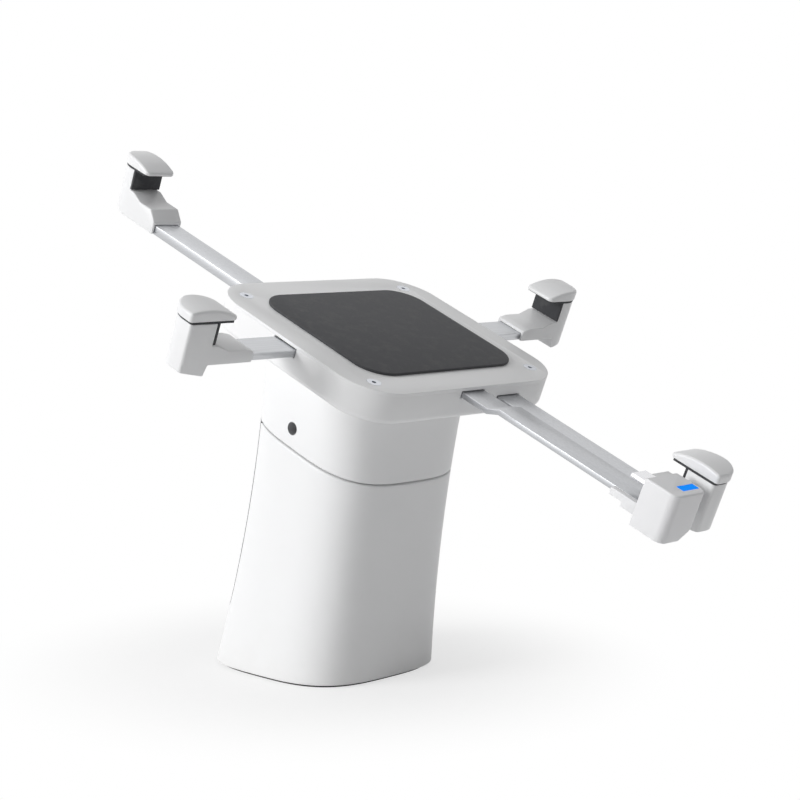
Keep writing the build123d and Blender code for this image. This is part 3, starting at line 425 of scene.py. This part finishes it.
# %% Brushed metal
def brushed(name, colour, along):
    """bar brushed along one axis of the seat's frame: fine streaks, softer blotches under them"""
    finish = Finish(name)
    stretch = tuple(0.02 if axis == along else 1.0 for axis in range(3))
    streaks = finish.noise(2600.0, 3.0, 0.7, stretch, -SEAT_TILT)
    blotches = finish.noise(120.0, 3.0)
    finish.set(
        Base_Color=finish.tint(streaks, colour, tuple(value * 0.66 for value in colour)),
        Metallic=1.0,
        Roughness=0.24 + streaks * 0.16 + blotches * 0.1,
    )
    return finish.relief(streaks, 0.000008, 0.5)


ACROSS, LENGTHWISE = 0, 1
bar_across = brushed("bar_across", (0.60, 0.61, 0.63), ACROSS)
bar_lengthwise = brushed("bar_lengthwise", (0.60, 0.61, 0.63), LENGTHWISE)
strip_lengthwise = brushed("strip_lengthwise", (0.55, 0.56, 0.58), LENGTHWISE)
print("brushed metal is made of", len(bar_across.tree.nodes), "shader nodes")

# %% [markdown]
# Plate and screws are zinc plated, which gives a mottled, slightly blue sheen: cells of crystals
# under soft blotches. The swivel's parts are turned on a lathe, so their grooves run round its axis.
# A noise of one dimension, read at the distance from that axis, draws rings all the way round.


# %% Plated and turned metal
def plated(name, colour, roughness):
    """zinc plate: mottled crystals under a thin sheen"""
    finish = Finish(name)
    crystals = finish.node("ShaderNodeTexVoronoi", {}, {
        "Vector": finish.places, "Scale": 520.0}, "Distance")
    blotches = finish.noise(160.0, 4.0, 0.6)
    finish.set(
        Base_Color=finish.tint(blotches * 0.7, colour, (0.50, 0.53, 0.60)),
        Metallic=1.0,
        Roughness=roughness + crystals * 0.12 + blotches * 0.08,
    )
    return finish.relief(crystals + blotches, 0.00001, 0.4)


def turned(name, colour, roughness):
    """lathe work: grooves round the swivel's axis"""
    finish = Finish(name)
    away = finish.vector("SUBTRACT", finish.places, tuple(SEAT_PLACE * MM))
    flat = finish.node("ShaderNodeMapping", {}, {
        "Vector": away, "Rotation": (-SEAT_TILT, 0.0, 0.0), "Scale": (1.0, 1.0, 0.0)})
    grooves = finish.node("ShaderNodeTexNoise", {"noise_dimensions": "1D"}, {
        "W": finish.length(flat), "Scale": 5200.0, "Detail": 2.0})
    finish.set(
        Base_Color=finish.tint(grooves * 0.5, colour, tuple(value * 0.8 for value in colour)),
        Metallic=1.0,
        Roughness=roughness + grooves * 0.16,
    )
    return finish.relief(grooves, 0.00001, 0.6)


plate_steel = plated("plate_steel", (0.56, 0.57, 0.60), 0.36)
screw_steel = plated("screw_steel", (0.62, 0.63, 0.65), 0.26)
# a screw darkened to paint the shade at the bottom of the key port
lock_screw_painted_shade = plated("lock_screw_painted_shade", (0.10, 0.10, 0.11), 0.42)
turned_steel = turned("turned_steel", (0.60, 0.61, 0.63), 0.26)
gear_brass = turned("gear_brass", (0.80, 0.62, 0.30), 0.24)
print("turned metal is made of", len(turned_steel.tree.nodes), "shader nodes")

# %% [markdown]
# Small things inside: the cell in its shrink film, the black sounder, the natural nylon washer and
# the green board. The board's copper runs could be modelled, but nobody sees more of them than a
# relief under the mask, so a brick pattern's mortar stands for them.


# %% Inner parts
def plain_plastic(name, colour, other, roughness, scale=300.0, depth=0.00002):
    """moulded or wrapped plastic with a mottled tone"""
    finish = Finish(name)
    mottle = finish.noise(scale, 4.0, 0.6)
    finish.set(Base_Color=finish.tint(mottle, colour, other), Roughness=roughness + mottle * 0.18)
    return finish.relief(mottle, depth, 0.5)


def circuit_board(name):
    """green solder mask over raised copper runs"""
    finish = Finish(name)
    runs = finish.node("ShaderNodeTexBrick", {"offset": 0.5}, {
        "Vector": finish.places, "Scale": 380.0, "Mortar Size": 0.06, "Color1": (0.0, 0.0, 0.0),
        "Color2": (0.0, 0.0, 0.0), "Mortar": (1.0, 1.0, 1.0)}, "Fac")
    finish.set(
        Base_Color=finish.tint(runs * 0.8, (0.012, 0.16, 0.06), (0.06, 0.34, 0.13)),
        Roughness=0.30 + runs * 0.12,
    )
    return finish.relief(runs, 0.00003, 0.8)


washer_nylon = plain_plastic("washer_nylon", (0.80, 0.78, 0.72), (0.74, 0.72, 0.65), 0.4)
battery_wrap = plain_plastic(
    "battery_wrap", (0.05, 0.08, 0.22), (0.07, 0.11, 0.28), 0.22, 90.0, 0.00008)
board_green = circuit_board("board_green")
sounder_black = plain_plastic("sounder_black", (0.02, 0.02, 0.022), (0.04, 0.04, 0.043), 0.45)
print("the board's finish is made of", len(board_green.tree.nodes), "shader nodes")

# %% [markdown]
# The sensor's window is a polished blue lens with a lamp behind it. Real glass over a lamp would
# take many light paths to show, so the surface glows by itself, and its mirror is kept weak, as the
# white studio would wash out the blue. The plug is bright nickel with the marks of being plugged in.


# %% Window and plug
def lens(name):
    """polished blue window, lit from behind"""
    finish = Finish(name)
    clouds = finish.noise(420.0, 2.0)
    finish.set(
        Base_Color=finish.tint(clouds, (0.002, 0.21, 0.92), (0.003, 0.28, 0.98)),
        Roughness=0.16 + clouds * 0.06,
        Specular_IOR_Level=0.06,
        IOR=1.12,
        Emission_Color=finish.tint(clouds, (0.0, 0.22, 0.95), (0.0, 0.30, 1.0)),
        Emission_Strength=0.44,
    )
    return finish.relief(clouds, 0.000006, 0.4)


def nickel(name):
    """bright plated metal with fine marks along the way it is plugged in"""
    finish = Finish(name)
    marks = finish.noise(3200.0, 3.0, 0.7, (1.0, 0.03, 1.0), -SEAT_TILT)
    finish.set(
        Base_Color=finish.tint(marks, (0.80, 0.80, 0.82), (0.70, 0.70, 0.72)),
        Metallic=1.0,
        Roughness=0.12 + marks * 0.16,
    )
    return finish.relief(marks, 0.000006, 0.5)


window_blue = lens("window_blue")
plug_metal = nickel("plug_metal")
print("the window is made of", len(window_blue.tree.nodes), "shader nodes")

# %% [markdown]
# Each node of the model names a slot, and each slot has its finish here. A few pieces need one of
# their own: the side arms are brushed the other way, the lock screw is painted near black as the
# shade at the bottom of the key port, and the skins with the port and the seam carry their masks of
# painted shade. Every node is dressed now. Those that are made again further down get the same
# finish from the same function.

# %% Every node gets its finish
slot_finishes = {
    "shell_white": shell_white,
    "claw_white": claw_white,
    "sensor_white": sensor_white,
    "liner_dark": liner_dark,
    "pad_dark": pad_dark,
    "foot_dark": foot_dark,
    "bar_aluminium": bar_lengthwise,
    "strip_aluminium": strip_lengthwise,
    "plate_steel": plate_steel,
    "turned_steel": turned_steel,
    "screw_steel": screw_steel,
    "gear_brass": gear_brass,
    "washer_nylon": washer_nylon,
    "window_blue": window_blue,
    "plug_metal": plug_metal,
    "battery_wrap": battery_wrap,
    "board_green": board_green,
    "sounder_black": sounder_black,
}
own_finishes = {
    "tower_shell": tower_white,
    "rear_cover": tower_white,
    "head_shell": head_white,
    "left_arm": bar_across,
    "right_arm": bar_across,
    "lock_screw": lock_screw_painted_shade,
}
slot_of = {row["node"]: row["material_slot"] for row in frame["record"]["subparts"]}


def dress(piece, node):
    """put a node's own finish, or else its slot's, on a whole piece"""
    finish = own_finishes.get(node, slot_finishes[slot_of[node]])
    piece.data.materials.clear()
    piece.data.materials.append(finish.material)


for node, piece in frame["nodes"].items():
    dress(piece, node)
print(len(frame["nodes"]), "nodes dressed from", len(slot_finishes), "slots")

# %% [markdown]
# The column's outline is a squarish oval whose half sizes follow a parabola through the foot, the
# waist and the top, and it leans forward as it rises. A cube smoothed by subdivision would give such
# a form quickly, but not one whose seam and waist lie where they should to a tenth of a millimetre.
# So one formula gives every place on the wall, and what ends along the seat searches for its height.

# %% The column's outline
SQUARENESS = 3.26
WAIST, COLUMN_TOP = 60.0, 112.0
HALF_WIDTHS = 27.8, 25.7, 28.0
HALF_DEPTHS = 29.6, 25.4, 26.5
SEARCH_TOP, SEARCH_STEP = COLUMN_TOP + 20.0, 0.001


def waisted(sizes, height):
    """a parabola through the sizes at the foot, the waist and the top"""
    foot, waist, top = sizes
    foot_share = (height - WAIST) * (height - COLUMN_TOP) / (WAIST * COLUMN_TOP)
    waist_share = height * (COLUMN_TOP - height) / (WAIST * (COLUMN_TOP - WAIST))
    top_share = height * (height - WAIST) / (COLUMN_TOP * (COLUMN_TOP - WAIST))
    return foot * foot_share + waist * waist_share + top * top_share


def wall_point(turn, height, inset=0.0):
    """a place on the column's wall, set in from its outer skin"""
    half_width = waisted(HALF_WIDTHS, height) - inset
    half_depth = waisted(HALF_DEPTHS, height) - inset
    across, along = math.cos(turn), math.sin(turn)
    x = math.copysign(abs(across) ** (2 / SQUARENESS), across) * half_width
    y = math.copysign(abs(along) ** (2 / SQUARENESS), along) * half_depth
    return Vector((x, y - LEAN * height, height))


def seat_height(turn, depth, inset):
    """the height at which the wall crosses a plane that lies along the seat"""
    low, high = 0.0, SEARCH_TOP
    while high - low > SEARCH_STEP:
        middle = (low + high) / 2
        if seat_depth(wall_point(turn, middle, inset)) < depth:
            low = middle
        else:
            high = middle
    return (low + high) / 2


print("the wall at the waist is", round(wall_point(0.0, WAIST).x * 2, 1), "mm wide")

# %% [markdown]
# Every piece below is closed, because meshes are handed on as solids and cuts need a clear inside.
# `stacked` joins a pile of rings with side faces and closes both ends. From it come a length of the
# column, whose ends are level or lie along the seat, and every round rod and countersunk hole.

# %% Closed forms
AROUND, ROUND_SIDES = 160, 72


def stacked(name, rings):
    """closed mesh through a pile of rings with the same number of places"""
    form = bmesh.new()
    rows = [[form.verts.new(place * MM) for place in ring] for ring in rings]
    count = len(rows[0])
    for lower, upper in zip(rows, rows[1:]):
        for step in range(count):
            after = (step + 1) % count
            form.faces.new((lower[step], lower[after], upper[after], upper[step]))
    form.faces.new(list(reversed(rows[0])))
    form.faces.new(rows[-1])
    bmesh.ops.recalc_face_normals(form, faces=form.faces)
    mesh = bpy.data.meshes.new(name)
    form.to_mesh(mesh)
    form.free()
    piece = bpy.data.objects.new(name, mesh)
    bpy.context.scene.collection.objects.link(piece)
    return piece


def column_piece(name, low, high, inset=0.0, rows=44):
    """the column between two ends; an end is a level height, or a pair ("seat", depth)"""
    turns = [2 * math.pi * (step + 0.5) / AROUND for step in range(AROUND)]
    ends = []
    for end in (low, high):
        if isinstance(end, tuple):
            ends.append([seat_height(turn, end[1], inset) for turn in turns])
        else:
            ends.append([end] * AROUND)
    return stacked(name, [[
        wall_point(turn, first + (last - first) * row / rows, inset)
        for turn, first, last in zip(turns, *ends)] for row in range(rows + 1)])


def lathed(name, start, along, profile, sides=ROUND_SIDES):
    """a round form about a line: the profile is a list of (distance along the line, radius)"""
    side = along.orthogonal().normalized()
    other = along.cross(side)
    turns = [2 * math.pi * step / sides for step in range(sides)]
    return stacked(name, [[
        start + along * distance + (side * math.cos(turn) + other * math.sin(turn)) * radius
        for turn in turns] for distance, radius in profile])


def rod(name, start, end, radius, sides=ROUND_SIDES):
    """round rod between two places"""
    along = (end - start).normalized()
    return lathed(name, start, along, [(0.0, radius), ((end - start).length, radius)], sides)


print("a column piece has", AROUND, "places round it and a rod has", ROUND_SIDES)

# %% [markdown]
# Forms are cut and joined with the Boolean modifier, which keeps them closed. The modifiers could be
# left stacked on one piece, but a cut that goes wrong is then hard to find, so each is settled into
# the mesh before the next. The rims that a hand meets are rounded before anything is cut, while the
# mesh is still regular.


# %% Cuts and rounded rims
def settle(piece):
    """make what the modifiers show the piece's own mesh"""
    bpy.context.view_layer.update()
    shown = piece.evaluated_get(bpy.context.evaluated_depsgraph_get())
    mesh = bpy.data.meshes.new_from_object(shown)
    piece.modifiers.clear()
    piece.data = mesh


def carve(piece, tool, operation="DIFFERENCE"):
    """cut a tool out of a piece, join it on, or keep what they share; the tool is used up"""
    step = piece.modifiers.new("carve", "BOOLEAN")
    step.solver = "EXACT"
    step.operation = operation
    step.object = tool
    settle(piece)
    bpy.data.objects.remove(tool)


def rounded(piece, radius, segments=4, angle=35.0):
    """round the edges that are sharper than an angle"""
    step = piece.modifiers.new("rounded", "BEVEL")
    step.width = radius * MM
    step.segments = segments
    step.limit_method = "ANGLE"
    step.angle_limit = math.radians(angle)
    step.use_clamp_overlap = True
    settle(piece)


print("pieces can be cut, joined and rounded")

# %% [markdown]
# A made piece stands for a node of the model: it moves with the same body, takes the finish of the
# node's slot, and hides the node. Smooth shading hides its facets, but it would also smear light over
# real edges, so shading breaks where two faces meet at more than an angle.

# %% A made piece takes its node's place
EDGE_ANGLE = math.radians(32.0)
bodies = frame["record"]["behaviour"]["bodies"]
body_of = {node: body for body, nodes in bodies.items() for node in nodes}


def enter(piece, node):
    """shade a made piece and let it stand for a node"""
    piece.data.shade_smooth()
    piece.data.set_sharp_from_angle(angle=EDGE_ANGLE)
    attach(piece, body_of[node])
    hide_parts(node)
    dress(piece, node)


# %% [markdown]
# The column comes apart at the slanted seam into the tower and the head, with half a millimetre
# between them so that they turn freely. These sizes are shared by the skins, so that a wall, a hole
# and what fits into it stay together.

# %% Sizes that the skins share
TOWER_TOP, HEAD_BOTTOM, HUB_BOTTOM = -44.65, -44.15, -18.0
TOWER_FOOT, TOWER_WALL, DECK = 0.8, 2.5, 4.0
COLLAR_SEAT = TOWER_TOP - DECK
PLAY, RIM = 0.05, 0.5
SHANK, SCREW_HEAD = 1.5, 2.8
BASE_SCREWS = [(x, y) for y in (13.95, -20.85) for x in (17, -17)]
PAST_SEAT, PAST_COLUMN = 3.0, 135.0


def rectangle(left, right, front, back):
    """four corners, as pairs"""
    return [(left, front), (right, front), (right, back), (left, back)]


def upright_prism(name, ring, low, high):
    """a prism that stands on a level outline"""
    return stacked(name, [[Vector((x, y, z)) for x, y in ring] for z in (low, high)])


print("the seam under the head is", round(HEAD_BOTTOM - TOWER_TOP, 2), "mm wide")

# %% [markdown]
# The rear cover fills a window in the tower's back. A round-cornered prism that points backward cuts
# the window and shapes the cover, once full size and once smaller by the seam. The cover is held at
# its foot by one countersunk screw, square to the leaning wall, so its hole is turned as one form:
# several cylinders with nearly the same ends would confuse the cut.

# %% Window and screw hole
COVER_START, BEHIND, WINDOW_TOP, CORNER_STEPS = -8.0, 60.0, 130.0, 12
COVER_SCREW_HEIGHT, COVER_SCREW_SUNK, COVER_SCREW_LENGTH, WAY_IN = 23.0, 0.4, 6.0, 3.0


def window_prism(name, half, low, corner):
    """the rear window as a prism that points backward, with its lower corners rounded"""
    ring = [(half, WINDOW_TOP), (-half, WINDOW_TOP)]
    for centre, start in ((-half + corner, math.pi), (half - corner, 1.5 * math.pi)):
        for step in range(CORNER_STEPS + 1):
            turn = start + math.pi / 2 * step / CORNER_STEPS
            ring.append((centre + corner * math.cos(turn), low + corner + corner * math.sin(turn)))
    return stacked(name, [[Vector((x, y, z)) for x, z in ring] for y in (COVER_START, BEHIND)])


def cover_screw_hole():
    """room for the cover's screw: its shank, its countersunk head and the way in from outside"""
    low, high = (wall_point(math.pi / 2, COVER_SCREW_HEIGHT + side * SCREW_HEAD) for side in (-1, 1))
    facing = Vector((0, 2 * SCREW_HEAD, low.y - high.y)).normalized()
    on_wall = Vector((0, (low.y + high.y) / 2, COVER_SCREW_HEIGHT))
    shank, head = SHANK + PLAY, SCREW_HEAD + PLAY
    profile = [(-COVER_SCREW_LENGTH - PLAY, shank), (shank - head, shank), (0.0, head), (WAY_IN, head)]
    return lathed("screw_hole", on_wall - facing * COVER_SCREW_SUNK, facing, profile)


print("the cover is", 2 * (COVER_HALF - SEAM), "mm wide")

# %% [markdown]
# The tower is hollow, with a deck under the seam that the swivel's collar is screwed to. The window
# is cut through the wall alone, by taking the column's core out of the prism first, so the bosses
# for the base screws and the block for the cover's screw stay whole behind it.

# %% Tower skin
BOSS_BOTTOM, BOSS_TOP, BOSS_RADIUS, BASE_SCREW_TIP = 10.0, 22.0, 5.0, 15.5
BLOCK_HALF, BLOCK_FRONT, BLOCK_BACK, BLOCK_TOP = 5.0, 15.5, 29.6, 28.0
CAVITY_START, CORE_START, POST_START, BASE_HOLE_START = -3.0, -5.0, 5.0, 8.0
COLLAR_RADIUS = 13.0

tower = column_piece("tower_skin", TOWER_FOOT, ("seat", TOWER_TOP))
rounded(tower, RIM)
carve(tower, column_piece("cavity", CAVITY_START, ("seat", COLLAR_SEAT), TOWER_WALL))

block_outline = rectangle(-BLOCK_HALF, BLOCK_HALF, BLOCK_FRONT, BLOCK_BACK)
posts = upright_prism("block", block_outline, POST_START, BLOCK_TOP)
for x, y in BASE_SCREWS:
    post_ends = Vector((x, y, POST_START)), Vector((x, y, BOSS_TOP))
    carve(posts, rod("post", *post_ends, BOSS_RADIUS), "UNION")
bosses = column_piece("bosses", BOSS_BOTTOM, BLOCK_TOP, TOWER_WALL / 2, rows=6)
carve(bosses, posts, "INTERSECT")
carve(tower, bosses, "UNION")

window = window_prism("window", COVER_HALF, COVER_LOW, COVER_ROUND)
carve(window, column_piece("core", CORE_START, PAST_COLUMN, TOWER_WALL + PLAY))
carve(tower, window)

collar_ends = seat_point(0, 0, TOWER_TOP + PAST_SEAT), seat_point(0, 0, TOWER_TOP - 2 * DECK)
carve(tower, rod("collar_hole", *collar_ends, COLLAR_RADIUS + PLAY))
for x, y in BASE_SCREWS:
    hole_ends = Vector((x, y, BASE_HOLE_START)), Vector((x, y, BASE_SCREW_TIP + PLAY))
    carve(tower, rod("base_hole", *hole_ends, SHANK + PLAY, sides=32))
carve(tower, cover_screw_hole())
enter(tower, "tower_shell")
print("tower skin:", len(tower.data.polygons), "faces")

# %% [markdown]
# The cover closes the window with a fine seam all round, which shows as a line down the back of the
# left flank. It could be bent from a sheet, but a slice of the same column runs on from the tower's
# skin without a step. Two hooks hold its top under the deck, and one screw its foot.

# %% Rear cover
SLICE_START, SLICE_CORE_START = 8.0, 5.0
HOOK_PLACES, HOOK_HALF, HOOK_THICK = (-12.5, 12.5), 2.5, 1.5
HOOK_FRONT, HOOK_BACK = 19.0, 22.0
HOOK_DEPTHS = COLLAR_SEAT - PLAY - HOOK_THICK, COLLAR_SEAT - PLAY

cover = column_piece("rear_cover_skin", SLICE_START, ("seat", TOWER_TOP))
carve(cover, column_piece("core", SLICE_CORE_START, PAST_COLUMN, TOWER_WALL - PLAY))
cover_outline = window_prism("window", COVER_HALF - SEAM, COVER_LOW + SEAM, COVER_ROUND - SEAM)
carve(cover, cover_outline, "INTERSECT")
for middle in HOOK_PLACES:
    corners = rectangle(middle - HOOK_HALF, middle + HOOK_HALF, HOOK_FRONT, HOOK_BACK)
    rings = [[seat_point(x, y, depth) for x, y in corners] for depth in HOOK_DEPTHS]
    carve(cover, stacked("hook", rings), "UNION")
carve(cover, cover_screw_hole())
enter(cover, "rear_cover")
print("rear cover:", len(cover.data.polygons), "faces")

# %% [markdown]
# The foot is a foamed rubber pad. Its core fills the tower's mouth, and a thin lip spreads out under
# the rim, so that a dark line parts the white column from the table. A dark stripe in the tower's
# finish would look the same from afar, but the pad is a piece of its own, and a lip is a real edge.

# %% Foot pad
PAD_THICK, PAD_PLAY, PAST_PAD = 2.0, 0.3, 1.0
LIP_THICK, LIP_INSET = 0.72, 1.7
PAD_HOLES = {"cable": (0.0, 5.5), "left_bolt": (-16.0, 2.1), "right_bolt": (16.0, 2.1)}

pad = column_piece("foot_pad_skin", 0.0, PAD_THICK, TOWER_WALL + PAD_PLAY, rows=2)
carve(pad, column_piece("lip", 0.0, LIP_THICK, LIP_INSET, rows=2), "UNION")
for name, (x, radius) in PAD_HOLES.items():
    hole_ends = Vector((x, 0, -PAST_PAD)), Vector((x, 0, PAD_THICK + PAST_PAD))
    carve(pad, rod(name, *hole_ends, radius))
enter(pad, "foot_pad")
print("foot pad:", len(pad.data.polygons), "faces")

# %% [markdown]
# The head is the top of the same column, hollow from below, with a flat roof that the hub stands on.
# A boss inside its left wall guides the lock screw, and a wider bore from outside lets a key reach
# it. All of it could be left to the finish, but a hole that is only painted looks flat from near.

# %% Head skin
HEAD_WALL, HEAD_ROOF, CAVITY_DROP, AXLE_HOLE = 2.4, 3.0, 12.0, 4.0
KEY_MOUTH, KEY_FLOOR = port_point(-29.5), port_point(-19.5)
LOCK_START, LOCK_END, LOCK_BOSS = port_point(-24.5), port_point(-14.6), 4.0
PAST_LOCK = Vector((4, 0, 0))

head = column_piece("head_skin", ("seat", HEAD_BOTTOM), ("seat", HUB_BOTTOM), rows=20)
rounded(head, RIM)
cavity_ends = ("seat", HEAD_BOTTOM - CAVITY_DROP), ("seat", HUB_BOTTOM - HEAD_ROOF)
carve(head, column_piece("cavity", *cavity_ends, HEAD_WALL, rows=20))

carve(head, rod("port_boss", LOCK_START, LOCK_END, LOCK_BOSS), "UNION")
carve(head, rod("lock_hole", LOCK_START, LOCK_END + PAST_LOCK, SHANK + PLAY))
carve(head, rod("key_hole", KEY_FLOOR, KEY_MOUTH, KEY_RADIUS))

axle_ends = seat_point(0, 0, HUB_BOTTOM + PAST_SEAT), seat_point(0, 0, HUB_BOTTOM - 2 * HEAD_ROOF)
carve(head, rod("axle_hole", *axle_ends, AXLE_HOLE))
enter(head, "head_shell")
print("head skin:", len(head.data.polygons), "faces")

# %% [markdown]
# The other moulded and bent pieces keep the shape they have in the model, but no tool leaves an edge
# quite sharp, and a sharp edge catches no light. Building them again would risk their fit. Instead a
# copy of each is welded, its flat faces are joined again, and its sharp edges are rounded a little.

# %% Pieces with softened edges
WELD, FLAT = 0.002, math.radians(0.3)
CLAW_EDGES = {"post": 0.45, "cap": 0.25, "liner": 0.12, "arm": 0.25}
OTHER_EDGES = {
    "hub_tray": 0.3,
    "hub_cover": 0.3,
    "device_pad": 0.3,
    "sensor_strip": 0.2,
    "sensor_boot": 0.35,
    "sensor_block": 0.3,
    "sensor_plug": 0.12,
}


def softened(node, radius):
    """copy of a node of the model, with its edges rounded, in the node's place"""
    form = bmesh.new()
    form.from_mesh(frame["nodes"][node].data)
    bmesh.ops.remove_doubles(form, verts=form.verts, dist=WELD * MM)
    bmesh.ops.dissolve_limit(form, angle_limit=FLAT, verts=form.verts, edges=form.edges)
    mesh = bpy.data.meshes.new(node + "_soft")
    form.to_mesh(mesh)
    form.free()
    piece = bpy.data.objects.new(node + "_soft", mesh)
    bpy.context.scene.collection.objects.link(piece)
    rounded(piece, radius, segments=3, angle=40.0)
    enter(piece, node)


edges = {f"{side}_{part}": radius for side in ("top", "bottom", "left", "right")
         for part, radius in CLAW_EDGES.items()} | OTHER_EDGES
for node, radius in edges.items():
    softened(node, radius)
print("softened pieces:", len(edges))

# %% [markdown]
# The floor is a wide sheet of pale paper. A sheet that is lit only by lamps would show its horizon,
# and one that only glows would lose the stand's shadow, so the two are mixed. Round the foot a third
# of what the camera sees is paper in its shadow. Further out the glow takes over, and the sheet runs
# into the white surroundings as on a photographer's table.

# %% Floor
FLOOR_RADIUS, FLOOR_SIDES = 14.0, 96
GLOW_START, GLOW_END, LEAST_GLOW = 0.03, 0.11, 0.66

floor_mesh = bpy.data.meshes.new("floor")
floor_form = bmesh.new()
bmesh.ops.create_circle(floor_form, cap_ends=True, segments=FLOOR_SIDES, radius=FLOOR_RADIUS)
floor_form.to_mesh(floor_mesh)
floor_form.free()
floor = bpy.data.objects.new("floor", floor_mesh)
bpy.context.scene.collection.objects.link(floor)
paper = Finish("paper")
fibres = paper.noise(700.0, 2.0)
paper.set(
    Base_Color=paper.tint(fibres, (0.86, 0.86, 0.86), (0.88, 0.88, 0.88)),
    Roughness=1.0,
    Specular_IOR_Level=0.0,
)
glow = paper.node("ShaderNodeEmission", {}, {"Color": (1, 1, 1), "Strength": 1.0})
looked_at = paper.node("ShaderNodeLightPath", {}, {}, "Is Camera Ray")
mirrored = paper.node("ShaderNodeLightPath", {}, {}, "Is Glossy Ray")
fade = paper.node("ShaderNodeMapRange", {"interpolation_type": "SMOOTHSTEP"}, {
    "Value": paper.length(paper.places), 1: GLOW_START, 2: GLOW_END, 3: LEAST_GLOW, 4: 1.0})
sheet = paper.node("ShaderNodeMixShader", {}, {
    0: looked_at.at_least(mirrored) * fade, 1: Wire(paper, paper.shader.outputs[0]), 2: glow})
paper.feed(paper.tree.nodes["Material Output"].inputs["Surface"], sheet)
floor.data.materials.append(paper.material)
print("the floor is", 2 * FLOOR_RADIUS, "m wide")
